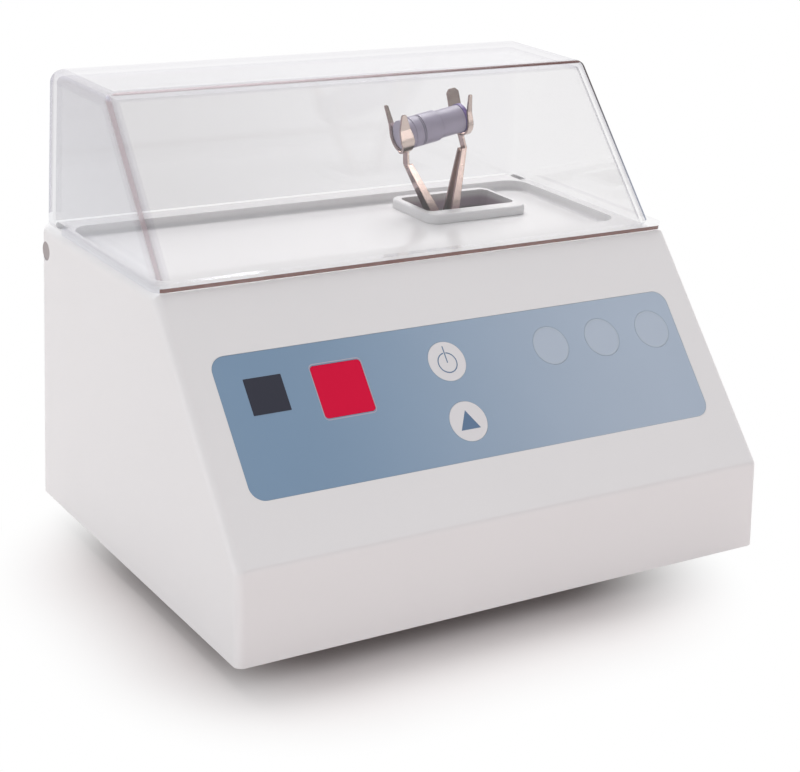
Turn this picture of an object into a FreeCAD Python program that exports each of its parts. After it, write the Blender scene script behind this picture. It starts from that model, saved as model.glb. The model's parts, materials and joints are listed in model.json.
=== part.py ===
import FreeCAD, Part
import math
import os

# Dental capsule mixer. Millimetres. While it is modelled, x is measured from the middle,
# y from the front lip towards the back, and z from the housing's bottom edge; save() then
# moves every piece so that the origin is the middle of the footprint, on the surface.

V = FreeCAD.Vector
X_AXIS = V(1, 0, 0)
Y_AXIS = V(0, 1, 0)
Z_AXIS = V(0, 0, 1)

# ---- housing ----
housing_width = 220.0  # at the bottom edge
housing_depth = 168.0
deck_height = 107.2
side_draft = 1.5  # each side leans in by this much at the deck
lip_height = 33.0
lip_lean = 2.1  # the front lip leans back by this much
slope_top = 67.0  # front lip to the top of the slope
wall = 2.8
edge_radius = 3.0
back_corner_radius = 5.0

# ---- sunk tray and well ----
tray_side = 8.5  # inside the housing's bottom width
tray_front = 86.0
tray_back_edge = 11.0  # from the housing's back
tray_depth = 3.8
tray_corner_radius = 8.0
well_left_reach = 21.2  # from the hub's centre
well_right_reach = 20.4
well_front_reach = 11.0
well_back_reach = 12.0
collar_side = 2.5
collar_front = 6.0
collar_back = 4.0
well_corner_radius = 3.0
collar_top_radius = 1.2
tray_floor_radius = 1.5
tray_plate_gap = 0.06  # round the plate that makes the tray's floor
collar_spigot = 1.4  # thickness of the collar's neck in the plate
collar_seat_gap = 0.05

# ---- lid ----
lid_edge = 4.6  # at its foot, inside the housing's bottom width
lid_lean = 1.7  # each side leans in by this much at the top
lid_rise = 57.5  # above the deck
lid_wall = 2.5
lid_foot_front = 70.5
lid_top_front = 117.5
lid_overhang = 1.0  # past the housing's back
lid_bend = 5.0
lid_brow_bend = 3.2
lid_back_bend = 3.0
lid_gap = 0.3
flange_thickness = 2.6
flange_edge = 0.2  # inside the housing's outline
flange_back_edge = 18.0  # from the housing's back
flange_corner = 4.0

# ---- lid hinge ----
hinge_inset = 6.2  # from the housing's back
hinge_drop = 9.6  # below the deck
hinge_pin_radius = 2.0
hinge_head_radius = 3.5
hinge_head = 1.2
ear_radius = 5.6
ear_thickness = 2.4
ear_clearance = 0.6
pin_clearance = 0.08
magnet_radius = 1.3
magnet_length = 1.4
magnet_drop = 3.8  # below the hinge pin
sensor_width = 5.0
sensor_length = 10.0
sensor_height = 8.0
sensor_seat_gap = 0.05  # under the tray

# ---- label, keys and display on the slope; u runs up the slope from its foot ----
label_side = 13.6  # inside the housing's bottom width
label_foot = 22.1
label_top = 73.8
label_corner = 5.5
label_thickness = 0.35
label_pocket = 0.4
key_radius = 7.6
key_travel = 0.5
key_clearance = 0.1
key_flange = 1.2
key_flange_thickness = 1.0
key_stem_radius = 2.5
key_stem = 1.0
power_x = -7.2
power_u = 59.4
up_x = -7.0
up_u = 36.3
preset_edge = 11.6  # the last preset key, from the label's right edge
preset_pitch_right = 23.6
preset_pitch_left = 23.3
preset_u = 59.0
window_edge = 45.4  # from the label's left edge
window_u = 55.75
window_width = 20.0
window_length = 19.5
window_corner = 1.5
window_thickness = 1.2
fit_gap = 0.1
switch_side = 6.0
switch_body = 3.5
switch_plunger_radius = 1.75
board_thickness = 1.6
board_corner = 2.0
keypad_board_side = 4.4  # inside the label
keypad_board_foot = 24.0
keypad_board_top = 72.0
keypad_post_left = 10.4  # from the label's left edge
keypad_post_window = 23.0  # right of the window's middle
keypad_post_middle = 22.0  # right of the up key
keypad_post_right = 22.4  # from the label's right edge
keypad_post_low = 29.0
keypad_post_high = 68.0
display_side = 18.0
display_board_gap = 0.1
keypad_screw = 6.0
switch_rest_gap = 0.5  # the stem stays this far above the switch body when pressed

# ---- base ----
foot_height = 7.0
foot_radius = 8.0
foot_side = 20.0  # from the housing's side
foot_front = 28.0
foot_back_edge = 22.0  # from the housing's back
foot_edge_radius = 1.5
foot_screw_seat = 4.0  # up from the ground to under the screw head
plate_thickness = 1.5
plate_rise = 1.5  # bottom edge to the plate's underside
plate_gap = 0.3
post_radius = 5.0
post_height = 24.0
post_end = 4.0  # left solid above a post's hole
post_inset = 10.0
base_screw = 14.0
screw_radius = 1.5
screw_head_radius = 3.0
screw_head = 1.8
thread_gap = 0.05
hole_gap = 0.2
vent_count = 6
vent_width = 3.0
vent_length = 30.0
vent_pitch = 8.0
vent_x = 30.0
vent_y = 60.0

# ---- drive ----
shaft_inset = 32.0  # from the housing's back
shaft_drop = 40.7  # below the deck
hub_inset = 51.8  # from the housing's right side
shaft_radius = 4.0
shaft_past_ring = 3.0
shaft_chamfer = 0.6
skew = 10.0  # degrees between the shaft and the bush that carries the fork
fork_lean = 3.0  # degrees, the fork leans back on its bush
bush_radius = 7.0
bush_flange_radius = 9.0
bush_flange = 1.6
ring_thickness = 1.0
ring_groove = 0.5
ring_opening = 3.0
journal_end = 0.6  # past the ring
hub_half = 5.0
hub_radius = 12.0
hub_bush_wall = 2.0
running_gap = 0.05
side_gap = 0.3
lug_half_width = 5.0
lug_top = 20.0
screw_pitch = 4.4
screw_end_gap = 0.6  # between an arm screw's hole and the middle of the lug
arm_screw_head = 1.9
screw_edge = 3.0  # from the lug's top to the upper screw
motor_radius = 26.0
motor_wall = 2.0
motor_reach = 22.2  # hub centre to the motor's front
motor_length = 68.0
end_cap = 6.0
end_cap_wall = 1.5
end_cap_spigot = 3.0
bearing_radius = 9.5
bearing_width = 6.0
rotor_radius = 17.0
magnet_angle = 120.0  # degrees each
air_gap = 0.6
magnet_inset = 12.0  # from each end of the can
rotor_inset = 14.0
rotor_slots = 8
rotor_slot_radius = 2.2
bracket_thickness = 2.5
bracket_front_reach = 28.0  # from the shaft
bracket_back_edge = 4.5  # from the housing's back
bracket_left_reach = 86.2  # from the hub's centre
bracket_right_reach = 21.8
bracket_drop = 13.2  # below the deck
bracket_rib = 18.0
mount_height = 6.0
mount_radius = 5.0
mount_inset = 7.0
pilot_radius = 12.0
motor_screw_circle = 19.0
motor_screw = 6.5
counterweight_thickness = 5.5
counterweight_ring = 8.0
counterweight_reach = 17.0
counterweight_angle = 150.0  # degrees

# ---- guide under the hub ----
tail_radius = 2.0
tail_end = 27.0
tail_seat = 2.0  # how far the pin goes into the hub
tail_round = 0.8
guide_depth = 24.0  # hub centre to the middle of the guide plate
guide_thickness = 3.0
guide_gap = 0.35
guide_width = 16.0
guide_leg_reach = 14.8  # from the hub's centre
guide_end = 4.0  # from the slot's end to the plate's end
guide_toe = 2.0  # thickness of the toe under the leg
guide_toe_screw = 6.0  # from the leg's face
guide_screw = 4.0

# ---- fork arms; v runs up the fork from the hub's centre ----
sheet = 0.9
strap_width = 8.0
bend_drop = 4.7  # below the deck
knee_drop = 12.1  # below the capsule's axis
knee_spread = 14.2  # middle to the outside of an arm
base_width = 6.2
base_depth = 3.9
knee_width = 3.4
knee_depth = 2.4
knee_hole_radius = 0.7
clip_spread = 13.0
clip_width = 6.0
prong_width = 2.4
clip_tip = 10.2  # above the capsule's axis
left_tip_width = 2.0
right_tip_width = 5.4
clip_flare = 18.0  # degrees
clip_straight = 3.5
leaf_belly_height = 5.5
leaf_shoulder = 1.5
leaf_taper = 0.46
prong_tip_width = 1.4
prong_rise = 0.6  # the narrow finger stands above the wide one
prong_inset = 0.6
leaf_offset = 1.5  # the wide finger's foot stands further out than the clip's middle
leaf_lean = 2.4  # the wide finger's tip stands further out than its foot by this much
knee_hole_drop = 1.2

# ---- capsule ----
capsule_drop = 25.9  # the capsule's axis below the lid's top
capsule_length = 29.0
capsule_radius = 6.2
capsule_end_radius = 5.9
capsule_clearance = 0.3
capsule_joint = -6.4
groove_width = 0.5
groove_depth = 0.5
plug_length = 1.6
capsule_wall = 0.9
cap_shoulder = 4.2  # length of the cap's narrower end
cap_floor = 1.2
body_step = 13.0  # length of the body's narrower end
body_step_drop = 0.3
spigot_length = 4.0  # the body's neck inside the cap
plug_depth = 3.0
plug_dish = 0.4

# ---- electronics and inlet ----
control_width = 74.0
control_length = 70.0
control_side = 52.0  # from the housing's left side to its middle
control_core_gap = 14.0  # between the control board and the transformer's core
standoff_height = 6.0
standoff_radius = 3.0
board_hole_inset = 5.0
capacitor_radius = 7.0
capacitor_height = 18.0
relay_side = 17.0
relay_height = 14.0
sink_width = 16.0
sink_length = 26.0
sink_height = 20.0
sink_floor = 3.0
sink_slots = 4
core_width = 44.0
core_length = 22.0
core_height = 38.0
core_limb = 8.2  # the middle limb
core_window = 14.0
core_tab = 1.5
core_tab_reach = 8.0
coil_length = 36.0
coil_corner = 4.0
coil_low = 12.0
coil_high = 35.0
core_side = 38.0  # from the housing's left side to its middle
core_inset = 50.0  # from the housing's back
inlet_side = 50.0  # from the housing's left side to its middle
inlet_z = 30.0
inlet_width = 27.4
inlet_height = 32.4
inlet_flange = 2.0
inlet_flange_edge = 2.2
inlet_corner = 1.5
inlet_depth = 22.0
socket_width = 24.4
socket_height = 16.4
socket_depth = 16.0
socket_rise = 6.4
pin_thickness = 2.0
pin_width = 4.0
pin_length = 13.0
pin_spacing = 7.0
fuse_width = 20.0
fuse_height = 8.0
fuse_length = 18.0
fuse_drop = 9.4
fuse_pull = 2.2  # the notch that a fingernail takes hold of
fuse_pull_width = 8.0
fuse_pull_depth = 1.2
pin_stagger = 2.0  # the earth pin sits above the line pins by twice this
pin_tail = 12.0

# ---- places that follow from the sizes ----
plate_top = plate_rise + plate_thickness
slope_angle = math.degrees(math.atan2(deck_height - lip_height, slope_top - lip_lean))
half_width = housing_width / 2
half_width_at_deck = half_width - side_draft
tray_width = housing_width - 2 * tray_side
tray_back = housing_depth - tray_back_edge
tray_floor = deck_height - tray_depth
lid_width = housing_width - 2 * lid_edge
lid_height = deck_height + lid_rise
lid_foot = deck_height + lid_gap
lid_back = housing_depth + lid_overhang
flange_back = housing_depth - flange_back_edge
hinge_y = housing_depth - hinge_inset
hinge_z = deck_height - hinge_drop
label_width = housing_width - 2 * label_side
keypad_board_width = label_width - 2 * keypad_board_side
window_x = window_edge - label_width / 2
preset_right = label_width / 2 - preset_edge
preset_middle = preset_right - preset_pitch_right
preset_left = preset_middle - preset_pitch_left
key_places = {
    "power_button": (power_x, power_u),
    "up_button": (up_x, up_u),
    "preset_button_1": (preset_left, preset_u),
    "preset_button_2": (preset_middle, preset_u),
    "preset_button_3": (preset_right, preset_u),
}
keypad_post_columns = (
    keypad_post_left - label_width / 2,
    window_x + keypad_post_window,
    up_x + keypad_post_middle,
    label_width / 2 - keypad_post_right,
)
foot_x = half_width - foot_side
foot_back = housing_depth - foot_back_edge
hub_x = half_width - hub_inset
shaft_y = housing_depth - shaft_inset
shaft_z = deck_height - shaft_drop
guide_leg = hub_x + guide_leg_reach
well_left = hub_x - well_left_reach
well_right = hub_x + well_right_reach
well_front = shaft_y - well_front_reach
well_back = shaft_y + well_back_reach
motor_front = hub_x - motor_reach
bracket_front = shaft_y - bracket_front_reach
bracket_back = housing_depth - bracket_back_edge
bracket_left = hub_x - bracket_left_reach
bracket_right = hub_x + bracket_right_reach
bracket_top = deck_height - bracket_drop
bend_height = shaft_drop - bend_drop
capsule_height = shaft_drop + lid_rise - capsule_drop
knee_height = capsule_height - knee_drop
control_x = control_side - half_width
core_x = core_side - half_width
core_y = housing_depth - core_inset
control_y = core_y - core_length / 2 - control_core_gap - control_length / 2
inlet_x = inlet_side - half_width
back_reach = max(lid_overhang, inlet_flange)
clip_inner = capsule_end_radius + capsule_clearance
hub_centre = V(hub_x, shaft_y, shaft_z)
window_inner = core_limb / 2
window_outer = window_inner + core_window
row_shift = V(0, -(housing_depth + back_reach) / 2, foot_height)


def save(node, *solids):
    """Writes one node, moved so that the origin is under the middle of the footprint."""
    shape = solids[0].copy() if len(solids) == 1 else Part.makeCompound([s.copy() for s in solids])
    shape.translate(row_shift)
    os.makedirs("parts", exist_ok=True)
    shape.exportStep(f"parts/{node}.step")


def box(x0, x1, y0, y1, z0, z1):
    return Part.makeBox(x1 - x0, y1 - y0, z1 - z0, V(x0, y0, z0))


def rod(radius, start, end):
    """A cylinder between two points."""
    run = end - start
    return Part.makeCylinder(radius, run.Length, start, run)


def tube(outer, inner, start, end):
    return rod(outer, start, end).cut(rod(inner, start, end))


def prism(points, run):
    """A closed outline of points, extruded along run."""
    return Part.Face(Part.makePolygon(points + points[:1])).extrude(run)


def rounded_box(x0, x1, y0, y1, z0, z1, radius):
    """A box with its four upright edges rounded."""
    block = box(x0, x1, y0, y1, z0, z1)
    upright = [e for e in block.Edges if abs(e.BoundBox.ZLength - (z1 - z0)) < 1e-6]
    return block.makeFillet(radius, upright)


def inset_outline(points, insets):
    """Moves each side of a convex (y, z) outline, given clockwise, inwards by its inset."""
    count = len(points)
    lines = []
    for i, inset in enumerate(insets):
        (y0, z0), (y1, z1) = points[i], points[(i + 1) % count]
        length = math.hypot(y1 - y0, z1 - z0)
        normal = ((z1 - z0) / length, -(y1 - y0) / length)
        lines.append((normal, normal[0] * y0 + normal[1] * z0 + inset))
    moved = []
    for i in range(count):
        (a, b), c = lines[i - 1]
        (d, e), f = lines[i]
        det = a * e - b * d
        moved.append(((c * e - b * f) / det, (a * f - c * d) / det))
    return moved


def tapered_form(outline, foot, top, half_foot, half_top):
    """A (y, z) outline across the width, with both sides leaning in towards the top."""
    body = prism([V(-half_foot, y, z) for y, z in outline], V(2 * half_foot, 0, 0))
    y0 = min(y for y, z in outline) - 1
    y1 = max(y for y, z in outline) + 1
    sides = [V(-half_foot, y0, foot), V(-half_top, y0, top), V(half_top, y0, top), V(half_foot, y0, foot)]
    return body.common(prism(sides, V(0, y1 - y0, 0)))


def edges_where(shape, test):
    return [e for e in shape.Edges if test(e, e.BoundBox)]


def screw(place, direction, length, radius=screw_radius, head_radius=screw_head_radius):
    """A pan-head screw: place is under its head, direction is where its shank goes."""
    head = Part.makeCylinder(head_radius, screw_head, place, direction * -1)
    top = edges_where(head, lambda e, b: True)
    far = max(top, key=lambda e: (e.BoundBox.Center - place).dot(direction * -1))
    head = head.makeFillet(screw_head * 0.5, [far])
    slot = rod(head_radius * 0.4, place - direction * screw_head * 0.45, place - direction * (screw_head + 1))
    return head.cut(slot).fuse(rod(radius, place, place + direction * length)).removeSplitter()


# ---- places on the slope ----
slope_turn = FreeCAD.Rotation(X_AXIS, slope_angle)
slope_out = slope_turn.multVec(Z_AXIS)


def on_slope(shape):
    """Moves a shape made in (x, u, depth) onto the slope; depth 0 is the housing's face."""
    shape.Placement = FreeCAD.Placement(V(0, lip_lean, lip_height), slope_turn).multiply(shape.Placement)
    return shape


def slope_disc(radius, x, u, low, high):
    return on_slope(rod(radius, V(x, u, low), V(x, u, high)))


def slope_box(x0, x1, u0, u1, low, high, corner=0.0):
    if corner:
        return on_slope(rounded_box(x0, x1, u0, u1, low, high, corner))
    return on_slope(box(x0, x1, u0, u1, low, high))


window_box = (
    window_x - window_width / 2,
    window_x + window_width / 2,
    window_u - window_length / 2,
    window_u + window_length / 2,
)
stem_end = -wall - side_gap - key_flange_thickness - key_stem
board_face = stem_end - key_travel - running_gap - switch_rest_gap - switch_body
keypad_posts = [(x, keypad_post_low) for x in keypad_post_columns]
keypad_posts += [(x, keypad_post_high) for x in keypad_post_columns[::2]]


# ---- housing ----
def housing_outline(inset, foot):
    outline = [(0, foot), (lip_lean, lip_height), (slope_top, deck_height), (housing_depth, deck_height)]
    outline[0] = (lip_lean * foot / lip_height, foot)
    outline.append((housing_depth, foot))
    return inset_outline(outline, [inset, inset, inset, inset, 0])


def housing_form(inset, foot):
    lean = side_draft * foot / deck_height
    half_foot = housing_width / 2 - lean - inset
    half_top = half_width_at_deck - inset
    return tapered_form(housing_outline(inset, foot), foot, deck_height, half_foot, half_top)


def post_places():
    """The four screw posts stand in the corners, grown into the side walls."""
    x = housing_width / 2 - wall - post_inset * 0.35
    ys = (foot_front - post_inset, foot_back + post_inset * 0.5)
    return [V(sx * x, y, 0) for sx in (-1, 1) for y in ys]


def tray_plate_form(gap):
    """The flat plate inside the floor's round edge, without its hole."""
    inset = tray_floor_radius + gap
    half = tray_width / 2 - inset
    low = tray_floor - wall
    front = tray_front + inset
    back = tray_back - inset
    return rounded_box(-half, half, front, back, low, tray_floor, tray_corner_radius - inset)


def well_form(inset, low, high):
    """The well, or a larger form round it where inset is less than nothing."""
    return rounded_box(
        well_left + inset,
        well_right - inset,
        well_front + inset,
        well_back - inset,
        low,
        high,
        well_corner_radius - inset,
    )


def tray_plate():
    hole = well_form(-collar_spigot - tray_plate_gap, tray_floor - wall - 1, tray_floor + 1)
    return tray_plate_form(tray_plate_gap).cut(hole)


def well_collar():
    """A frame round the well, standing on the plate with its neck down through it."""
    rim = rounded_box(
        well_left - collar_side,
        well_right + collar_side,
        well_front - collar_front,
        well_back + collar_back,
        tray_floor + collar_seat_gap,
        deck_height,
        well_corner_radius + 2,
    )
    brow = edges_where(rim, lambda e, b: b.ZMin > deck_height - 0.01)
    neck = well_form(-collar_spigot, tray_floor - wall, tray_floor + collar_seat_gap)
    frame = rim.makeFillet(collar_top_radius, brow).fuse(neck)
    return frame.cut(well_form(0, tray_floor - wall - 1, deck_height + 1)).removeSplitter()


def housing():
    form = housing_form(0, 0)
    uprights = edges_where(
        form, lambda e, b: b.YMin > housing_depth - 0.1 and b.ZLength > deck_height * 0.9
    )
    form = form.makeFillet(back_corner_radius, uprights)
    tops = edges_where(
        form, lambda e, b: b.ZMin > 0.1 and b.ZMax > deck_height - 0.1 and b.YMin > slope_top - 0.5
    )
    soft = edges_where(
        form,
        lambda e, b: b.ZMax > lip_height - 0.1
        and b.YMax < slope_top + 0.1
        and b.YMin < slope_top - 1
        and (b.ZLength > 1 or b.ZMax < lip_height + 0.1),
    )
    rims = [e for e in tops if e.BoundBox.YMax > slope_top + 1]
    form = form.makeFillet(edge_radius, soft + rims)
    inner = housing_form(wall, -1.0)
    shell = form.cut(inner)
    half = tray_width / 2
    tub = rounded_box(
        -half - wall,
        half + wall,
        tray_front - wall,
        tray_back + wall,
        tray_floor - wall,
        deck_height - wall / 2,
        tray_corner_radius + wall,
    )
    shell = shell.fuse(tub.common(form))
    tray = rounded_box(-half, half, tray_front, tray_back, tray_floor, deck_height + 1, tray_corner_radius)
    floor_edges = edges_where(tray, lambda e, b: b.ZMax < tray_floor + 0.01)
    shell = shell.cut(tray.makeFillet(tray_floor_radius, floor_edges))
    shell = shell.cut(tray_plate_form(0))
    for place in post_places():
        post = rod(post_radius, place + V(0, 0, plate_top), place + V(0, 0, plate_top + post_height))
        shell = shell.fuse(post.common(form))
        hole_top = place + V(0, 0, plate_top + post_height - post_end)
        shell = shell.cut(rod(screw_radius + thread_gap, place, hole_top))
    for x, u in keypad_posts:
        shell = shell.fuse(slope_disc(standoff_radius, x, u, board_face, -wall / 2))
        shell = shell.cut(slope_disc(screw_radius + thread_gap, x, u, board_face - 1, -wall + 0.6))
    shell = shell.cut(
        slope_box(
            -label_width / 2 - fit_gap,
            label_width / 2 + fit_gap,
            label_foot - fit_gap,
            label_top + fit_gap,
            -label_pocket,
            1,
            label_corner + fit_gap,
        )
    )
    x0, x1, u0, u1 = window_box
    shell = shell.cut(slope_box(x0, x1, u0, u1, -wall - 1, 1, window_corner))
    for x, u in key_places.values():
        shell = shell.cut(slope_disc(key_radius, x, u, -wall - 1, 1))
    shell = shell.cut(inlet_body(hole_gap / 2))
    for side in (-1, 1):
        shell = shell.cut(ear_slot(side))
        shell = shell.cut(hinge_pin(side, pin_clearance))
    return shell.removeSplitter()


# ---- lid and hinge ----
ear_outer = half_width_at_deck - wall - ear_clearance
ear_inner = ear_outer - ear_thickness


def ear_slot(side):
    """The notch through the rim and the back wall that a hinge ear swings in."""
    x0 = ear_inner - ear_clearance
    x1 = ear_outer + ear_clearance * 0.5
    low = hinge_z - ear_radius - ear_clearance
    front = hinge_y - ear_radius - ear_clearance
    left, right = sorted((side * x0, side * x1))
    return box(left, right, front, housing_depth + 1, low, deck_height + 1)


def hinge_pin(side, gap=0.0):
    face = half_width_at_deck + side_draft * (1 - hinge_z / deck_height)
    tip = V(side * (ear_inner - 0.4 - gap), hinge_y, hinge_z)
    seat = V(side * (face - hinge_head - gap), hinge_y, hinge_z)
    out = V(side * (face + (1 if gap else -0.15)), hinge_y, hinge_z)
    return rod(hinge_pin_radius + gap, tip, seat).fuse(rod(hinge_head_radius + gap, seat, out))


def lid_outline(inset):
    rise = lid_height - lid_foot - flange_thickness
    lean = (lid_top_front - lid_foot_front) / rise
    foot_front = lid_foot_front - lean * flange_thickness
    front = [(foot_front, lid_foot), (lid_top_front, lid_height)]
    back = [(lid_back, lid_height), (lid_back, lid_foot)]
    return inset_outline(front + back, [inset, inset, inset, 0])


def lid_form(inset):
    half_foot = lid_width / 2 - inset
    form = tapered_form(lid_outline(inset), lid_foot, lid_height, half_foot, half_foot - lid_lean)
    above = lid_foot + 1
    brow = edges_where(
        form,
        lambda e, b: b.XLength > lid_width / 2 and b.ZMin > above and b.YMax < lid_top_front + lid_wall,
    )
    form = form.makeFillet(lid_brow_bend - inset, brow)
    uprights = edges_where(form, lambda e, b: b.ZLength > lid_rise / 2 and b.YMin > lid_back - inset - 0.1)
    form = form.makeFillet(lid_back_bend - inset, uprights)
    bends = edges_where(
        form,
        lambda e, b: b.ZMax > above and b.ZLength < b.YLength + b.XLength and b.XLength < lid_wall
        or b.XLength > lid_width / 2 and b.ZMin > above and b.YMin > lid_back - inset - lid_bend,
    )
    return form.makeFillet(lid_bend - inset, bends)


def lid():
    flange = rounded_box(
        -half_width_at_deck + flange_edge,
        half_width_at_deck - flange_edge,
        slope_top + flange_edge,
        flange_back,
        lid_foot,
        lid_foot + flange_thickness,
        flange_corner,
    )
    shell = lid_form(0).fuse(flange)
    shell = shell.cut(lid_form(lid_wall))
    for side in (-1, 1):
        centre = V(side * ear_inner, hinge_y, hinge_z)
        run = V(side * ear_thickness, 0, 0)
        ear = Part.makeCylinder(ear_radius, ear_thickness, centre, run)
        neck = box(
            min(side * ear_inner, side * ear_outer),
            max(side * ear_inner, side * ear_outer),
            hinge_y - ear_radius,
            hinge_y + ear_radius,
            hinge_z,
            lid_foot + flange_thickness,
        )
        shell = shell.fuse(ear.fuse(neck))
        shell = shell.cut(rod(hinge_pin_radius + pin_clearance, centre - run, centre + 2 * run))
    return shell.cut(lid_magnet(thread_gap)).removeSplitter()


def lid_magnet(gap=0.0):
    """Glued into the inner face of the right-hand ear, below the pin."""
    face = V(ear_inner - gap, hinge_y, hinge_z - magnet_drop)
    return rod(magnet_radius + gap, face, face + V(magnet_length + 2 * gap, 0, 0))


# ---- mains inlet ----
def inlet_body(gap=0.0):
    half = inlet_width / 2 + gap
    tall = inlet_height / 2 + gap
    front = housing_depth - inlet_depth
    back = housing_depth + (1 if gap else 0)
    return box(inlet_x - half, inlet_x + half, front, back, inlet_z - tall, inlet_z + tall)


def fuse_drawer(gap=0.0):
    back = housing_depth + inlet_flange
    z = inlet_z - fuse_drop
    tray = box(
        inlet_x - fuse_width / 2 - gap,
        inlet_x + fuse_width / 2 + gap,
        back - fuse_length - gap,
        back + (1 if gap else 0),
        z - fuse_height / 2 - gap,
        z + fuse_height / 2 + gap,
    )
    if gap:
        return tray
    left = inlet_x - fuse_pull_width / 2
    right = inlet_x + fuse_pull_width / 2
    edge = z - fuse_height / 2
    return tray.cut(box(left, right, back - fuse_pull_depth, back + 1, edge - 1, edge + fuse_pull))


def inlet():
    half = inlet_width / 2 + inlet_flange_edge
    tall = inlet_height / 2 + inlet_flange_edge
    back = housing_depth + inlet_flange
    middle = inlet_z + socket_rise
    flange = box(inlet_x - half, inlet_x + half, housing_depth, back, inlet_z - tall, inlet_z + tall)
    corners = edges_where(flange, lambda e, b: b.YLength > inlet_flange * 0.9)
    rim = flange.makeFillet(inlet_corner, corners)
    cavity = box(
        inlet_x - socket_width / 2,
        inlet_x + socket_width / 2,
        back - socket_depth,
        back + 1,
        middle - socket_height / 2,
        middle + socket_height / 2,
    )
    body = inlet_body().fuse(rim).cut(cavity).cut(fuse_drawer(fit_gap))
    for pin in inlet_pins(running_gap):
        body = body.cut(pin)
    return body.removeSplitter()


def inlet_pins(gap=0.0):
    """Two line pins in the lower row and the earth pin between and above them."""
    back = housing_depth + inlet_flange
    middle = inlet_z + socket_rise
    pins = []
    for x, z in ((-pin_spacing, -pin_stagger), (pin_spacing, -pin_stagger), (0, pin_stagger)):
        centre_x = inlet_x + x
        centre_z = middle + z
        root = back - socket_depth - pin_tail
        tip = back - socket_depth + pin_length
        pins.append(
            box(
                centre_x - pin_thickness / 2 - gap,
                centre_x + pin_thickness / 2 + gap,
                root,
                tip,
                centre_z - pin_width / 2 - gap,
                centre_z + pin_width / 2 + gap,
            )
        )
    return pins


# ---- base ----
def foot_places():
    return [V(sx * foot_x, y, 0) for sx in (-1, 1) for y in (foot_front, foot_back)]


def mount_places():
    """The four rubber mounts under the motor bracket."""
    xs = (bracket_left + mount_inset, bracket_right - mount_inset)
    ys = (bracket_front + mount_inset, bracket_back - mount_inset)
    return [V(x, y, plate_top) for x in xs for y in ys]


def standoff_places():
    dx = control_width / 2 - board_hole_inset
    dy = control_length / 2 - board_hole_inset
    return [V(control_x + sx * dx, control_y + sy * dy, plate_top) for sx in (-1, 1) for sy in (-1, 1)]


def transformer_places():
    dx = core_width / 2 + core_tab_reach / 2
    return [V(core_x + sx * dx, core_y, plate_top) for sx in (-1, 1)]


def base_plate():
    half = housing_width / 2 - wall - plate_gap - side_draft * plate_top / deck_height
    front = housing_outline(wall, 0)[0][0] + lip_lean * plate_top / lip_height + plate_gap
    plate = rounded_box(-half, half, front, housing_depth - wall - plate_gap, plate_rise, plate_top, 1.0)
    holes = [(p, screw_radius + hole_gap) for p in post_places()]
    tapped = foot_places() + mount_places() + standoff_places() + transformer_places()
    holes += [(p, screw_radius + thread_gap) for p in tapped]
    for place, radius in holes:
        low = V(place.x, place.y, plate_rise - plate_thickness)
        plate = plate.cut(Part.makeCylinder(radius, 3 * plate_thickness, low))
    for i in range(vent_count):
        x = vent_x + i * vent_pitch
        slot = rounded_box(
            x - vent_width / 2,
            x + vent_width / 2,
            vent_y - vent_length / 2,
            vent_y + vent_length / 2,
            plate_rise - 1,
            plate_top + 1,
            vent_width * 0.49,
        )
        plate = plate.cut(slot)
    return plate


def foot(place):
    pad = Part.makeCylinder(foot_radius, foot_height + plate_rise, V(place.x, place.y, -foot_height))
    ground = edges_where(pad, lambda e, b: b.ZMax < -foot_height + 0.01)
    pad = pad.makeFillet(foot_edge_radius, ground)
    under = V(place.x, place.y, -foot_height - 1)
    sink = Part.makeCylinder(screw_head_radius + hole_gap, foot_screw_seat + 1, under)
    hole = Part.makeCylinder(screw_radius + hole_gap, 2 * foot_height, under)
    return pad.cut(sink).cut(hole)


# ---- drive ----
fork_turn = FreeCAD.Rotation(Y_AXIS, -skew)
lean_turn = FreeCAD.Rotation(X_AXIS, -fork_lean)


def on_bush(shape):
    """Moves a shape made about the bush's axis (along x) to its place on the shaft."""
    shape.Placement = FreeCAD.Placement(hub_centre, fork_turn).multiply(shape.Placement)
    return shape


def on_fork(shape):
    """As on_bush, and leaned back as the fork is."""
    place = FreeCAD.Placement(hub_centre, fork_turn.multiply(lean_turn))
    shape.Placement = place.multiply(shape.Placement)
    return shape


def on_shaft(x, y=0.0, z=0.0):
    return V(x, shaft_y + y, shaft_z + z)


bush_end = hub_half + side_gap
ring_end = bush_end + ring_thickness
motor_back = motor_front - motor_length
bracket_face = motor_front + bracket_thickness
guide_height = shaft_z - guide_depth * math.cos(math.radians(skew))
toe_screw_x = guide_leg + guide_toe_screw


def shaft():
    """The motor shaft, from the rear bearing to just past the bush."""
    end = hub_x + ring_end + shaft_past_ring
    body = rod(shaft_radius, on_shaft(motor_back - end_cap + end_cap_wall + side_gap), on_shaft(end))
    return body.makeChamfer(shaft_chamfer, edges_where(body, lambda e, b: b.XLength < 0.01))


def skew_bush():
    """The journal that leans by the skew angle; its flange keeps the hub from the motor."""
    journal = rod(bush_radius, V(-bush_end - bush_flange, 0, 0), V(ring_end + journal_end, 0, 0))
    flange = rod(bush_flange_radius, V(-bush_end - bush_flange, 0, 0), V(-bush_end, 0, 0))
    groove = tube(bush_radius + 1, bush_radius - ring_groove, V(bush_end, 0, 0), V(ring_end, 0, 0))
    body = on_bush(journal.fuse(flange).cut(groove))
    bore = rod(shaft_radius + running_gap / 2, on_shaft(hub_x - hub_radius), on_shaft(hub_x + hub_radius))
    return body.cut(bore)


def retaining_ring():
    inner = bush_radius - ring_groove + running_gap
    ring = tube(bush_flange_radius, inner, V(bush_end + running_gap, 0, 0), V(ring_end - running_gap, 0, 0))
    gap = box(bush_end - 1, ring_end + 1, -ring_opening / 2, ring_opening / 2, -hub_radius, 0)
    return on_bush(ring.cut(gap))


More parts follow.
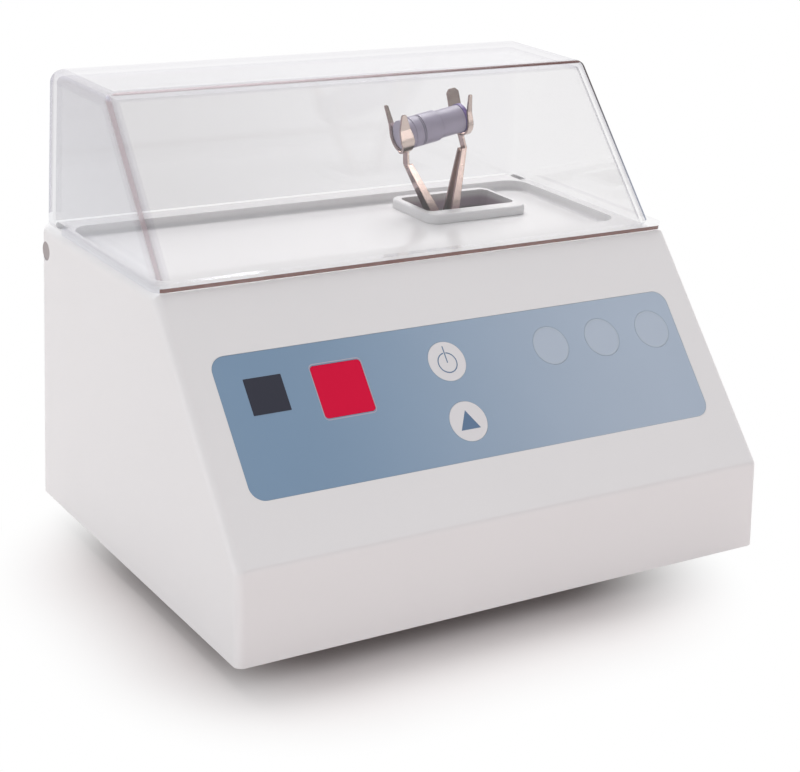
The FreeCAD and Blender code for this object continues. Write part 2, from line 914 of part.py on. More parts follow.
def counterweight():
    """A ring on the shaft with a heavy sector on the side away from the fork's lean."""
    x0 = bracket_face + screw_head + side_gap
    x1 = x0 + counterweight_thickness
    ring = rod(counterweight_ring, on_shaft(x0), on_shaft(x1))
    lobe = Part.makeCylinder(
        counterweight_reach, counterweight_thickness, on_shaft(x0), X_AXIS, counterweight_angle
    )
    middle = lobe.CenterOfMass - on_shaft(x0)
    turn = math.degrees(math.atan2(middle.z, middle.y))
    lobe.rotate(on_shaft(0), X_AXIS, -90 - turn)
    bore = rod(shaft_radius + running_gap / 2, on_shaft(x0 - 1), on_shaft(x1 + 1))
    return ring.fuse(lobe).cut(bore).removeSplitter()


def bearing(x0):
    return tube(bearing_radius, shaft_radius + running_gap, on_shaft(x0), on_shaft(x0 + bearing_width))


def motor_can():
    body = rod(motor_radius, on_shaft(motor_back), on_shaft(motor_front))
    floor = motor_front - end_cap
    body = body.cut(rod(motor_radius - motor_wall, on_shaft(motor_back - 1), on_shaft(floor)))
    body = body.cut(rod(bearing_radius + running_gap, on_shaft(floor - 1), on_shaft(motor_front - 1)))
    body = body.cut(rod(shaft_radius + 1, on_shaft(floor), on_shaft(motor_front + 1)))
    for y, z in motor_screw_places():
        start = on_shaft(floor + 1, y, z)
        body = body.cut(rod(screw_radius + thread_gap, start, on_shaft(motor_front + 1, y, z)))
    return body


def motor_screw_places():
    reach = motor_screw_circle / math.sqrt(2)
    return [(sy * reach, sz * reach) for sy in (-1, 1) for sz in (-1, 1)]


def motor_end_cap():
    body = rod(motor_radius, on_shaft(motor_back - end_cap), on_shaft(motor_back))
    end = motor_back + end_cap_spigot
    body = body.fuse(rod(motor_radius - motor_wall - running_gap, on_shaft(motor_back), on_shaft(end)))
    seat = motor_back - end_cap + end_cap_wall
    return body.cut(rod(bearing_radius + running_gap, on_shaft(seat), on_shaft(end + 1)))


def motor_magnets():
    outer = motor_radius - motor_wall - running_gap
    inner = rotor_radius + air_gap
    x0 = motor_back + magnet_inset
    x1 = motor_front - magnet_inset
    ring = tube(outer, inner, on_shaft(x0), on_shaft(x1))
    pair = []
    for start in (-magnet_angle / 2, 180 - magnet_angle / 2):
        wedge = Part.makeCylinder(outer + 1, x1 - x0 + 2, on_shaft(x0 - 1), X_AXIS, magnet_angle)
        wedge.rotate(on_shaft(0), X_AXIS, start)
        pair.append(ring.common(wedge))
    return pair


def rotor_core():
    x0 = motor_back + rotor_inset
    x1 = motor_front - rotor_inset
    body = rod(rotor_radius, on_shaft(x0), on_shaft(x1))
    for i in range(rotor_slots):
        angle = 2 * math.pi * i / rotor_slots
        y = (rotor_radius - 1) * math.cos(angle)
        z = (rotor_radius - 1) * math.sin(angle)
        body = body.cut(rod(rotor_slot_radius, on_shaft(x0 - 1, y, z), on_shaft(x1 + 1, y, z)))
    return body.cut(rod(shaft_radius + running_gap / 2, on_shaft(x0 - 1), on_shaft(x1 + 1)))


def motor_bracket():
    """A foot plate on the rubber mounts with an upright plate that the motor hangs on."""
    low = plate_top + mount_height
    foot_plate = box(bracket_left, bracket_right, bracket_front, bracket_back, low, low + bracket_thickness)
    upright = box(motor_front, bracket_face, bracket_front, bracket_back, low, bracket_top)
    body = foot_plate.fuse(upright)
    for side in (bracket_front, bracket_back - bracket_thickness):
        gusset = [
            V(bracket_face, side, low + bracket_thickness),
            V(bracket_face, side, low + bracket_thickness + bracket_rib),
            V(bracket_face + bracket_rib, side, low + bracket_thickness),
        ]
        body = body.fuse(prism(gusset, V(0, bracket_thickness, 0)))
    body = body.cut(rod(pilot_radius, on_shaft(motor_front - 1), on_shaft(bracket_face + 1)))
    for y, z in motor_screw_places():
        hole = rod(screw_radius + hole_gap, on_shaft(motor_front - 1, y, z), on_shaft(bracket_face + 1, y, z))
        body = body.cut(hole)
    for place in mount_places():
        above = place + Z_AXIS * (mount_height + 2 * bracket_thickness)
        body = body.cut(rod(screw_radius + hole_gap, place, above))
    for y in guide_screw_rows():
        body = body.cut(rod(screw_radius + thread_gap, V(toe_screw_x, y, 0), V(toe_screw_x, y, guide_height)))
    return body.removeSplitter()


def guide_screw_rows():
    return [shaft_y - guide_width * 0.3, shaft_y + guide_width * 0.3]


def rubber_mount(place):
    return tube(mount_radius, screw_radius + hole_gap, place, place + V(0, 0, mount_height))


# ---- guide that stops the fork turning ----
def guide_bracket():
    """A plate with a slot along x for the hub's tail, on a leg that stands on the bracket."""
    swing = (guide_depth + guide_thickness / 2 + 1) * math.sin(math.radians(skew))
    reach = swing + tail_radius + guide_gap
    low = plate_top + mount_height + bracket_thickness
    y0 = shaft_y - guide_width / 2
    y1 = shaft_y + guide_width / 2
    z0 = guide_height - guide_thickness / 2
    z1 = guide_height + guide_thickness / 2
    top = box(hub_x - reach - guide_end, guide_leg + guide_thickness, y0, y1, z0, z1)
    leg = box(guide_leg, guide_leg + guide_thickness, y0, y1, low, z1)
    toe = box(guide_leg, bracket_right, y0, y1, low, low + guide_toe)
    slot = rounded_box(
        hub_x - reach,
        hub_x + reach,
        shaft_y - tail_radius - guide_gap,
        shaft_y + tail_radius + guide_gap,
        z0 - 1,
        z1 + 1,
        tail_radius + guide_gap - 0.01,
    )
    body = top.fuse(leg).fuse(toe).cut(slot)
    for y in guide_screw_rows():
        body = body.cut(rod(screw_radius + hole_gap, V(toe_screw_x, y, 0), V(toe_screw_x, y, guide_height)))
    return body.removeSplitter()


# ---- fork ----
def fork_hub():
    body = rod(hub_radius, V(-hub_half, 0, 0), V(hub_half, 0, 0))
    lug = box(-hub_half, hub_half, -lug_half_width, lug_half_width, 0, lug_top)
    bore = bush_radius + running_gap + hub_bush_wall
    body = body.fuse(lug).cut(rod(bore, V(-hub_radius, 0, 0), V(hub_radius, 0, 0)))
    for side in (-1, 1):
        for v in strap_screw_heights():
            mouth = V(side * (hub_half + 1), 0, v)
            body = body.cut(rod(screw_radius + thread_gap, mouth, V(side * screw_end_gap, 0, v)))
    body = on_fork(body.removeSplitter())
    socket = rod(tail_radius + thread_gap, V(0, 0, -hub_radius - 1), V(0, 0, -hub_radius + tail_seat))
    return body.cut(on_bush(socket))


def strap_screw_heights():
    return (lug_top - screw_edge, lug_top - screw_edge - screw_pitch)


def guide_pin():
    pin = rod(tail_radius, V(0, 0, -hub_radius + tail_seat), V(0, 0, -tail_end))
    return on_bush(pin.makeFillet(tail_round, edges_where(pin, lambda e, b: b.ZMax < -tail_end + 0.1)))


def hub_bush():
    bush = tube(
        bush_radius + running_gap + hub_bush_wall - running_gap / 2,
        bush_radius + running_gap,
        V(-hub_half, 0, 0),
        V(hub_half, 0, 0),
    )
    return on_bush(bush)


def channel(outside, depth, width, v):
    """The cross-section of an arm at height v: a channel open towards the middle."""
    half = width / 2
    points = [
        (outside, -half),
        (outside, half),
        (outside - depth, half),
        (outside - depth, half - sheet),
        (outside - sheet, half - sheet),
        (outside - sheet, -half + sheet),
        (outside - depth, -half + sheet),
        (outside - depth, -half),
    ]
    return Part.makePolygon([V(u, y, v) for u, y in points + points[:1]])


def leaf(foot_width, belly, tip_width, tip, middle, lean=0.0):
    """The outline of a clip finger in (u, v), seen along y, leaning outwards to its tip."""
    low = capsule_height - clip_inner - sheet
    half = [
        (foot_width / 2, low - 0.1),
        (belly / 2, low + leaf_belly_height),
        (belly * leaf_taper, capsule_height + leaf_shoulder),
        (tip_width / 2, tip - tip_width / 4),
        (tip_width / 4, tip),
    ]
    shift = [lean * (v - low + 0.1) / (tip - low + 0.1) for u, v in half]
    left = [(middle + move - u, v) for (u, v), move in zip(half, shift)]
    right = [(middle + move + u, v) for (u, v), move in zip(half, shift)]
    return left + right[::-1]


def clip(tip_width):
    """A spring clip: a band round the capsule's end with a narrow finger in front and a wide
    one behind, both flared at the tip."""
    outer = clip_inner + sheet
    width = clip_width + 2 + leaf_offset + leaf_lean
    run = V(width, 0, 0)
    start = V(clip_spread - clip_width / 2 - 1, 0, capsule_height)
    below = box(start.x, start.x + width, -outer, outer, capsule_height - outer, capsule_height)
    band = Part.makeCylinder(outer, width, start, X_AXIS)
    band = band.cut(Part.makeCylinder(clip_inner, width, start, X_AXIS)).common(below)
    flare = math.tan(math.radians(clip_flare))
    tip = capsule_height + clip_tip + 1
    turn = capsule_height + clip_straight
    for side in (-1, 1):
        out = (tip - turn) * flare
        points = [
            V(start.x, side * clip_inner, capsule_height),
            V(start.x, side * clip_inner, turn),
            V(start.x, side * (clip_inner + out), tip),
            V(start.x, side * (outer + out), tip),
            V(start.x, side * outer, turn),
            V(start.x, side * outer, capsule_height),
        ]
        band = band.fuse(prism(points, run))
    top = capsule_height + clip_tip
    edge = clip_spread + clip_width / 2 - prong_width / 2 - prong_inset
    wide = leaf(knee_width, clip_width, tip_width, top, clip_spread + leaf_offset, leaf_lean)
    narrow = leaf(prong_width, prong_width, prong_tip_width, top + prong_rise, edge)
    reach = V(0, 2 * outer, 0)
    front = prism([V(u, -2 * outer, v) for u, v in narrow], reach)
    behind = prism([V(u, 0, v) for u, v in wide], reach)
    return band.common(front.fuse(behind))


def fork_arm(tip_width):
    """The right-hand arm: strap on the hub, channel, neck and clip, all one pressing."""
    strap_foot = bush_flange_radius + 1
    rise = knee_height - bend_height
    foot_outside = hub_half + sheet
    strap = prism(
        [
            V(hub_half, -strap_width / 2, strap_foot),
            V(hub_half, strap_width / 2, strap_foot),
            V(hub_half, base_width / 2, bend_height),
            V(hub_half, -base_width / 2, bend_height),
        ],
        V(sheet, 0, 0),
    )
    bend = Part.makeLoft(
        [
            channel(foot_outside, base_depth, base_width, bend_height),
            channel(knee_spread, knee_depth, knee_width, knee_height),
        ],
        True,
        True,
    )
    low = capsule_height - clip_inner - sheet * 0.5
    half = knee_width / 2
    neck = prism(
        [
            V(knee_spread - sheet, -half, knee_height),
            V(knee_spread, -half, knee_height),
            V(clip_spread + sheet / 2, -half, low),
            V(clip_spread - sheet / 2, -half, low),
        ],
        V(0, knee_width, 0),
    )
    hole_at = V(knee_spread - knee_width, 0, knee_height - knee_hole_drop)
    hole = rod(knee_hole_radius, hole_at, hole_at + V(2 * knee_width, 0, 0))
    body = strap.fuse([bend, neck, clip(tip_width)]).cut(hole)
    for v in strap_screw_heights():
        body = body.cut(rod(screw_radius + hole_gap, V(0, 0, v), V(knee_spread, 0, v)))
    return body.removeSplitter()


def arm_screws():
    out = hub_half + sheet
    reach = hub_half + sheet - 2 * screw_end_gap
    screws = []
    for side in (-1, 1):
        for v in strap_screw_heights():
            fixing = screw(V(side * out, 0, v), V(-side, 0, 0), reach, head_radius=arm_screw_head)
            screws.append(on_fork(fixing))
    return screws


# ---- capsule ----
capsule_end = capsule_length / 2


def capsule_tube(sections, bore_start, bore_end, bore_radius):
    """A turned shape from (start, end, radius) sections along x, with one bore."""
    body = None
    for start, end, radius in sections:
        piece = rod(radius, V(start, 0, capsule_height), V(end, 0, capsule_height))
        body = piece if body is None else body.fuse(piece)
    if bore_radius:
        body = body.cut(rod(bore_radius, V(bore_start, 0, capsule_height), V(bore_end, 0, capsule_height)))
    return body.removeSplitter()


def capsule_cap():
    mouth = capsule_joint
    shoulder = -capsule_end + cap_shoulder
    sections = [(-capsule_end, shoulder, capsule_end_radius), (shoulder, mouth, capsule_radius)]
    return capsule_tube(sections, -capsule_end + cap_floor, mouth + 1, capsule_radius - capsule_wall)


def capsule_body():
    groove = capsule_joint + groove_width
    step = capsule_end - body_step
    inner = capsule_radius - capsule_wall - running_gap
    sections = [
        (capsule_joint - spigot_length, capsule_joint, inner),
        (capsule_joint, groove, capsule_radius - groove_depth),
        (groove, step, capsule_radius),
        (step, capsule_end - plug_length, capsule_end_radius - body_step_drop),
    ]
    start = capsule_joint - spigot_length - 1
    return capsule_tube(sections, start, capsule_end - plug_length + 1, inner - capsule_wall)


def capsule_plug():
    seat = capsule_radius - 2 * capsule_wall - 2 * running_gap
    face = capsule_end - plug_length
    sections = [(face - plug_depth, face, seat), (face, capsule_end, capsule_end_radius)]
    body = capsule_tube(sections, 0, 0, 0)
    dish = face + plug_length - plug_dish
    return body.cut(rod(seat - 1, V(dish, 0, capsule_height), V(capsule_end + 1, 0, capsule_height)))


# ---- keys and electronics ----
def key(x, u):
    """A flush round key with a flange behind the wall and a stem over its switch."""
    behind = -wall - side_gap
    parts = [
        slope_disc(key_radius - key_clearance, x, u, behind - key_flange_thickness, -running_gap),
        slope_disc(key_radius + key_flange, x, u, behind - key_flange_thickness, behind),
        slope_disc(key_stem_radius, x, u, stem_end, behind - key_flange_thickness),
    ]
    return parts[0].fuse(parts[1:]).removeSplitter()


def tact_switch(x, u):
    half = switch_side / 2
    top = board_face + switch_body
    body = slope_box(x - half, x + half, u - half, u + half, board_face, top)
    return body.fuse(slope_disc(switch_plunger_radius, x, u, top, stem_end - key_travel - running_gap))


def label():
    body = slope_box(
        -label_width / 2,
        label_width / 2,
        label_foot,
        label_top,
        -label_pocket,
        -label_pocket + label_thickness,
        label_corner,
    )
    for x, u in key_places.values():
        body = body.cut(slope_disc(key_radius, x, u, -2, 1))
    x0, x1, u0, u1 = window_box
    return body.cut(slope_box(x0, x1, u0, u1, -2, 1, window_corner))


def display_window():
    x0, x1, u0, u1 = window_box
    gap = fit_gap
    high = -label_pocket + label_thickness
    return slope_box(
        x0 + gap, x1 - gap, u0 + gap, u1 - gap, high - window_thickness, high, window_corner - gap
    )


def display_module():
    half = display_side / 2
    high = -label_pocket + label_thickness - window_thickness - display_board_gap
    return slope_box(window_x - half, window_x + half, window_u - half, window_u + half, board_face, high)


def keypad_board():
    half = keypad_board_width / 2
    back = board_face - board_thickness
    board = slope_box(-half, half, keypad_board_foot, keypad_board_top, back, board_face, board_corner)
    for x, u in keypad_posts:
        board = board.cut(slope_disc(screw_radius + hole_gap, x, u, back - board_thickness, board_face + 1))
    return board


def standoff(place):
    return tube(standoff_radius, screw_radius + thread_gap, place, place + V(0, 0, standoff_height))


def control_board():
    low = plate_top + standoff_height
    x0 = control_x - control_width / 2
    y0 = control_y - control_length / 2
    board = box(x0, x0 + control_width, y0, y0 + control_length, low, low + board_thickness)
    for place in standoff_places():
        above = place + Z_AXIS * (standoff_height + 2 * board_thickness)
        board = board.cut(rod(screw_radius + hole_gap, place, above))
    return board


def board_components():
    """The taller parts on the control board: two capacitors, a relay and a heat sink."""
    low = plate_top + standoff_height + board_thickness
    left = control_x - control_width / 4
    right = control_x + control_width / 4
    row = control_y + control_length / 4
    relay = left - relay_side / 2
    parts = [
        Part.makeCylinder(capacitor_radius, capacitor_height, V(left, row, low)),
        Part.makeCylinder(capacitor_radius * 0.7, capacitor_height * 0.7, V(control_x, row, low)),
        box(relay, relay + relay_side, control_y - relay_side, control_y, low, low + relay_height),
    ]
    x0 = right - sink_width / 2
    x1 = right + sink_width / 2
    y0 = control_y - sink_length / 2
    sink = box(x0, x1, y0, y0 + sink_length, low, low + sink_height)
    pitch = sink_length / (sink_slots + 0.5)
    for i in range(sink_slots):
        y = y0 + pitch * (i + 0.5)
        sink = sink.cut(box(x0 - 1, x1 + 1, y, y + pitch / 2, low + sink_floor, low + sink_height + 1))
    return parts + [sink]


def transformer_core():
    x0 = core_x - core_width / 2
    y0 = core_y - core_length / 2
    low = plate_top + core_tab
    core = box(x0, x0 + core_width, y0, y0 + core_length, low, low + core_height)
    for side in (-1, 1):
        left, right = sorted((core_x + side * window_inner, core_x + side * window_outer))
        core = core.cut(box(left, right, y0 - 1, y0 + core_length + 1, coil_low, coil_high))
    reach = core_width / 2 + core_tab_reach
    half_tab = core_length / 4
    tabs = box(core_x - reach, core_x + reach, core_y - half_tab, core_y + half_tab, plate_top, low)
    for place in transformer_places():
        tabs = tabs.cut(Part.makeCylinder(screw_radius + hole_gap, core_height, place - V(0, 0, 1)))
    return core.fuse(tabs).removeSplitter()


def transformer_coil():
    """The winding fills the core's two windows and bulges out of them front and back."""
    outer = window_outer - side_gap
    y0 = core_y - coil_length / 2
    y1 = core_y + coil_length / 2
    low = coil_low + hole_gap
    high = coil_high - hole_gap
    coil = rounded_box(core_x - outer, core_x + outer, y0, y1, low, high, coil_corner)
    half = core_length / 2 + hole_gap
    limb = box(core_x - window_inner, core_x + window_inner, core_y - half, core_y + half, low - 1, high + 1)
    return coil.cut(limb)


def lid_sensor():
    """The switch beside the right-hand ear that feels the magnet when the lid is shut."""
    x = ear_inner - ear_clearance - 1
    y = hinge_y + 1
    z = tray_floor - wall - sensor_seat_gap
    return box(x - sensor_width, x, y - sensor_length, y, z - sensor_height, z)


# ---- write the pieces ----
save("housing_shell", housing())
save("tray_plate", tray_plate())
save("well_collar", well_collar())
save("base_plate", base_plate())
save("rubber_feet", *[foot(p) for p in foot_places()])
foot_screw_start = V(0, 0, -foot_height + foot_screw_seat)
foot_screw = plate_top + foot_height - foot_screw_seat
save("foot_screws", *[screw(p + foot_screw_start, Z_AXIS, foot_screw) for p in foot_places()])
save("base_screws", *[screw(p + V(0, 0, plate_rise), Z_AXIS, base_screw) for p in post_places()])
save("label_overlay", label())
save("display_window", display_window())
save("display_module", display_module())
save("keypad_board", keypad_board())
save("tact_switches", *[tact_switch(x, u) for x, u in key_places.values()])
keypad_screws = []
for x, u in keypad_posts:
    under = on_slope(Part.Vertex(V(x, u, board_face - board_thickness))).Point
    keypad_screws.append(screw(under, slope_out, keypad_screw))
save("keypad_screws", *keypad_screws)
for name, (x, u) in key_places.items():
    save(name, key(x, u))

save("lid_shell", lid())
save("lid_magnet", lid_magnet())
save("hinge_pins", hinge_pin(-1), hinge_pin(1))
save("lid_sensor", lid_sensor())

save("inlet_socket", inlet())
save("inlet_pins", *inlet_pins())
save("fuse_drawer", fuse_drawer())

save("control_board", control_board())
save("board_components", *board_components())
save("board_standoffs", *[standoff(p) for p in standoff_places()])
board_top = V(0, 0, standoff_height + board_thickness)
save("board_screws", *[screw(p + board_top, Z_AXIS * -1, standoff_height) for p in standoff_places()])
save("transformer_core", transformer_core())
save("transformer_coil", transformer_coil())
tab_top = V(0, 0, core_tab)
tab_screw = core_tab + plate_thickness
save("transformer_screws", *[screw(p + tab_top, Z_AXIS * -1, tab_screw) for p in transformer_places()])

save("motor_bracket", motor_bracket())
save("rubber_mounts", *[rubber_mount(p) for p in mount_places()])
mount_top = V(0, 0, mount_height + bracket_thickness)
mount_screw = mount_height + bracket_thickness + plate_thickness
save("mount_screws", *[screw(p + mount_top, Z_AXIS * -1, mount_screw) for p in mount_places()])
save("motor_can", motor_can())
save("motor_end_cap", motor_end_cap())
save("motor_magnets", *motor_magnets())
save("motor_bearings", bearing(motor_back - end_cap + end_cap_wall), bearing(motor_front - end_cap - 1))
motor_screw_set = []
for y, z in motor_screw_places():
    motor_screw_set.append(screw(on_shaft(bracket_face, y, z), X_AXIS * -1, motor_screw))
save("motor_screws", *motor_screw_set)
save("guide_bracket", guide_bracket())
toe_top = plate_top + mount_height + bracket_thickness + guide_toe
toe_screws = [screw(V(toe_screw_x, y, toe_top), Z_AXIS * -1, guide_screw) for y in guide_screw_rows()]
save("guide_screws", *toe_screws)

save("motor_shaft", shaft())
save("rotor_core", rotor_core())
save("skew_bush", skew_bush())
save("bush_ring", retaining_ring())
save("counterweight", counterweight())

save("fork_hub", fork_hub())
save("hub_bush", hub_bush())
save("guide_pin", guide_pin())
half_turn = FreeCAD.Placement(V(0, 0, 0), FreeCAD.Rotation(Z_AXIS, 180))
left_arm = fork_arm(left_tip_width)
left_arm.Placement = half_turn
save("fork_arm_left", on_fork(left_arm))
save("fork_arm_right", on_fork(fork_arm(right_tip_width)))
save("arm_screws", *arm_screws())

save("capsule_cap", on_fork(capsule_cap()))
save("capsule_body", on_fork(capsule_body()))
save("capsule_plug", on_fork(capsule_plug()))
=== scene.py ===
import json
import math

import bpy
from mathutils import Matrix, Vector


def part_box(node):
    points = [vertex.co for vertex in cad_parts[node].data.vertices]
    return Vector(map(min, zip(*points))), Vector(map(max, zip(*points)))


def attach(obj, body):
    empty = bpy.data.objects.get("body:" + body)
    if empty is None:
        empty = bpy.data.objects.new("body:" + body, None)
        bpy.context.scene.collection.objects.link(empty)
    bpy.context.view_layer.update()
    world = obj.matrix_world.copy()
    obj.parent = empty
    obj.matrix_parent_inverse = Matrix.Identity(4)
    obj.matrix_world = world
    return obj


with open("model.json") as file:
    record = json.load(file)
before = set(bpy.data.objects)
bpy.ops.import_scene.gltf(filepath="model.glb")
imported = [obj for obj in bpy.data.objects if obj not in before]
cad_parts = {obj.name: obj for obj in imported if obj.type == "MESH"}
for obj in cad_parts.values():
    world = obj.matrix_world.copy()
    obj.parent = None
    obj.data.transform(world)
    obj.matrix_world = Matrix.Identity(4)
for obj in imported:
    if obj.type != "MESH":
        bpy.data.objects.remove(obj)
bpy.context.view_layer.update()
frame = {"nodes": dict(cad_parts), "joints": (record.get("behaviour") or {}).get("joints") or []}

MM = 0.001


# ---- Camera ----
# A long lens stands about three quarters of a metre away to the front left, and looks down on the
# mixer at about twenty degrees, so that its upright edges stay nearly parallel.
camera_place = Vector((-0.36365, -0.57156, 0.30398))
camera_right = Vector((0.85025, -0.52457, 0.04366))
camera_up = Vector((0.14319, 0.31031, 0.93979))
camera_back = Vector((-0.50653, -0.79280, 0.33895))
camera_data = bpy.data.cameras.new("camera")
camera_data.lens = 85.81
camera_data.sensor_width = 36.0
camera_data.clip_start = 0.01
camera = bpy.data.objects.new("camera", camera_data)
bpy.context.scene.collection.objects.link(camera)
turn = Matrix((camera_right, camera_up, camera_back)).transposed().to_4x4()
camera.matrix_world = Matrix.Translation(camera_place) @ turn
bpy.context.scene.camera = camera
bpy.context.scene.view_settings.view_transform = "Standard"


# ---- Studio ----
# The mixer stands on a seamless pale bench. A wide soft box hangs above and behind it, so that its
# shadow falls forward, and two weak low ones fill in from the left and, warmer, from the front.
def new_material(name):
    material = bpy.data.materials.new(name)
    material.use_nodes = True
    return material, material.node_tree


def add(tree, kind, **settings):
    node = tree.nodes.new(kind)
    for name, value in settings.items():
        setattr(node, name, value)
    return node


def math_node(tree, operation, first, second=None, clamp=False):
    """A Math node fed by sockets or plain numbers; gives back its output socket."""
    node = add(tree, "ShaderNodeMath", operation=operation, use_clamp=clamp)
    for index, value in enumerate((first, second)):
        if isinstance(value, (int, float)):
            node.inputs[index].default_value = value
        elif value is not None:
            tree.links.new(value, node.inputs[index])
    return node.outputs[0]


def ramp(tree, value, start, end, low, high):
    """Fades from low to high while value goes from start to end."""
    node = add(tree, "ShaderNodeMapRange", interpolation_type="SMOOTHSTEP")
    tree.links.new(value, node.inputs["Value"])
    for socket, number in (("From Min", start), ("From Max", end), ("To Min", low), ("To Max", high)):
        node.inputs[socket].default_value = number
    return node.outputs[0]


bench_half = 3.0
bench_mesh = bpy.data.meshes.new("bench")
corners = [(x * bench_half, y * bench_half, 0) for x, y in ((-1, -1), (1, -1), (1, 1), (-1, 1))]
bench_mesh.from_pydata(corners, [], [(0, 1, 2, 3)])
bench = bpy.data.objects.new("bench", bench_mesh)
bpy.context.scene.collection.objects.link(bench)
bench_paper, tree = new_material("bench_paper")
tree.nodes.clear()
paper = add(tree, "ShaderNodeBsdfDiffuse")
paper.inputs["Color"].default_value = (0.70, 0.635, 0.625, 1)
# Away from the mixer the bench glows plain white to the camera and in reflections. It fades in beyond a
# rectangle round the mixer's foot, a painted light over the outer part of its shadow.
shade_low = Vector((-0.072, -0.055, 0.0))
shade_high = Vector((0.020, 0.0, 0.0))
shade_end = 0.020
white_start = 0.090
place = add(tree, "ShaderNodeTexCoord").outputs["Object"]
within = add(tree, "ShaderNodeVectorMath", operation="MINIMUM")
within.inputs[1].default_value = shade_high
tree.links.new(place, within.inputs[0])
nearest = add(tree, "ShaderNodeVectorMath", operation="MAXIMUM")
nearest.inputs[1].default_value = shade_low
tree.links.new(within.outputs[0], nearest.inputs[0])
away = add(tree, "ShaderNodeVectorMath", operation="DISTANCE")
tree.links.new(place, away.inputs[0])
tree.links.new(nearest.outputs[0], away.inputs[1])
fade = ramp(tree, away.outputs["Value"], shade_end, white_start, 0.0, 1.0)
white = add(tree, "ShaderNodeEmission")
path = add(tree, "ShaderNodeLightPath")
seen = math_node(tree, "ADD", path.outputs["Is Camera Ray"], path.outputs["Is Glossy Ray"], clamp=True)
bench_sheet = add(tree, "ShaderNodeMixShader")
tree.links.new(math_node(tree, "MULTIPLY", seen, fade), bench_sheet.inputs["Fac"])
tree.links.new(paper.outputs[0], bench_sheet.inputs[1])
tree.links.new(white.outputs[0], bench_sheet.inputs[2])
output = add(tree, "ShaderNodeOutputMaterial")
tree.links.new(bench_sheet.outputs[0], output.inputs["Surface"])
bench_mesh.materials.append(bench_paper)

world = bpy.data.worlds.new("studio")
bpy.context.scene.world = world
world.use_nodes = True
tree = world.node_tree
room = tree.nodes["Background"]
room.inputs["Color"].default_value = (0.95, 0.97, 1.0, 1)
room.inputs["Strength"].default_value = 0.50
backdrop = add(tree, "ShaderNodeBackground")
backdrop.inputs["Color"].default_value = (1, 1, 1, 1)
backdrop.inputs["Strength"].default_value = 1.0
reflected = add(tree, "ShaderNodeBackground")
reflected.inputs["Color"].default_value = (1.0, 0.985, 0.98, 1)
toward = add(tree, "ShaderNodeVectorMath", operation="DOT_PRODUCT")
toward.inputs[1].default_value = (0.0, 0.55, 0.83)
tree.links.new(add(tree, "ShaderNodeTexCoord").outputs["Generated"], toward.inputs[0])
dim_wall = 0.22
bright_wall = 1.08
brightness = ramp(tree, toward.outputs["Value"], -0.35, 0.75, dim_wall, bright_wall)
tree.links.new(brightness, reflected.inputs["Strength"])
path = add(tree, "ShaderNodeLightPath")
seen = path.outputs["Is Camera Ray"]
seen_through = path.outputs["Is Transmission Ray"]
direct = math_node(tree, "ADD", seen, seen_through, clamp=True)
mirrored = add(tree, "ShaderNodeMixShader")
tree.links.new(path.outputs["Is Glossy Ray"], mirrored.inputs["Fac"])
tree.links.new(room.outputs[0], mirrored.inputs[1])
tree.links.new(reflected.outputs[0], mirrored.inputs[2])
choice = add(tree, "ShaderNodeMixShader")
tree.links.new(direct, choice.inputs["Fac"])
tree.links.new(mirrored.outputs[0], choice.inputs[1])
tree.links.new(backdrop.outputs[0], choice.inputs[2])
tree.links.new(choice.outputs[0], tree.nodes["World Output"].inputs["Surface"])


def soft_box(name, place, aim, width, height, watts, colour):
    data = bpy.data.lights.new(name, "AREA")
    data.shape = "RECTANGLE"
    data.size = width
    data.size_y = height
    data.energy = watts
    data.color = colour
    lamp = bpy.data.objects.new(name, data)
    bpy.context.scene.collection.objects.link(lamp)
    lamp.location = place
    lamp.rotation_euler = (Vector(aim) - Vector(place)).to_track_quat("-Z", "Y").to_euler()


soft_box("behind", (0.35, 0.92, 1.52), (0, 0, 0.05), 1.3, 1.1, 32.0, (1.0, 1.0, 1.0))
soft_box("left_side", (-1.4, 0.1, 0.18), (0, 0, 0.07), 1.1, 0.4, 5.9, (0.97, 0.99, 1.0))
soft_box("front_fill", (0.1, -1.15, 0.06), (0, 0, 0.05), 1.2, 0.3, 4.8, (1.0, 0.92, 0.915))


# ---- Housing ----
# One shell of white ABS, injection moulded with a fine satin texture on its sides and slope and
# a polished deck, whose upward faces are painted a lighter white as a painted light. The tray's
# floor is a plate welded in from below, and the well has its own collar, whose inside is painted
# mauve below its rim as a painted shade.
def new_group(name, inputs, outputs):
    """A shader node group with float or colour inputs and colour, float or vector outputs."""
    group = bpy.data.node_groups.new(name, "ShaderNodeTree")
    kinds = {"value": "NodeSocketFloat", "colour": "NodeSocketColor", "vector": "NodeSocketVector"}
    for label, kind in inputs:
        group.interface.new_socket(label, in_out="INPUT", socket_type=kinds[kind])
    for label, kind in outputs:
        group.interface.new_socket(label, in_out="OUTPUT", socket_type=kinds[kind])
    return group, add(group, "NodeGroupInput"), add(group, "NodeGroupOutput")


def noise(tree, place, scale, detail=2.0, stretch=None):
    """A noise texture in the piece's own metres; stretch squeezes it along each axis."""
    node = add(tree, "ShaderNodeTexNoise")
    node.inputs["Detail"].default_value = detail
    if isinstance(scale, (int, float)):
        node.inputs["Scale"].default_value = scale
    else:
        tree.links.new(scale, node.inputs["Scale"])
    if stretch:
        squeeze = add(tree, "ShaderNodeVectorMath", operation="MULTIPLY")
        squeeze.inputs[1].default_value = stretch
        tree.links.new(place, squeeze.inputs[0])
        place = squeeze.outputs[0]
    tree.links.new(place, node.inputs["Vector"])
    return node.outputs["Fac"]


def spread(tree, value, low, high):
    """Maps a 0 to 1 value onto low to high."""
    node = add(tree, "ShaderNodeMapRange")
    tree.links.new(value, node.inputs["Value"])
    for socket, target in ((node.inputs["To Min"], low), (node.inputs["To Max"], high)):
        if isinstance(target, (int, float)):
            socket.default_value = target
        else:
            tree.links.new(target, socket)
    return node.outputs[0]


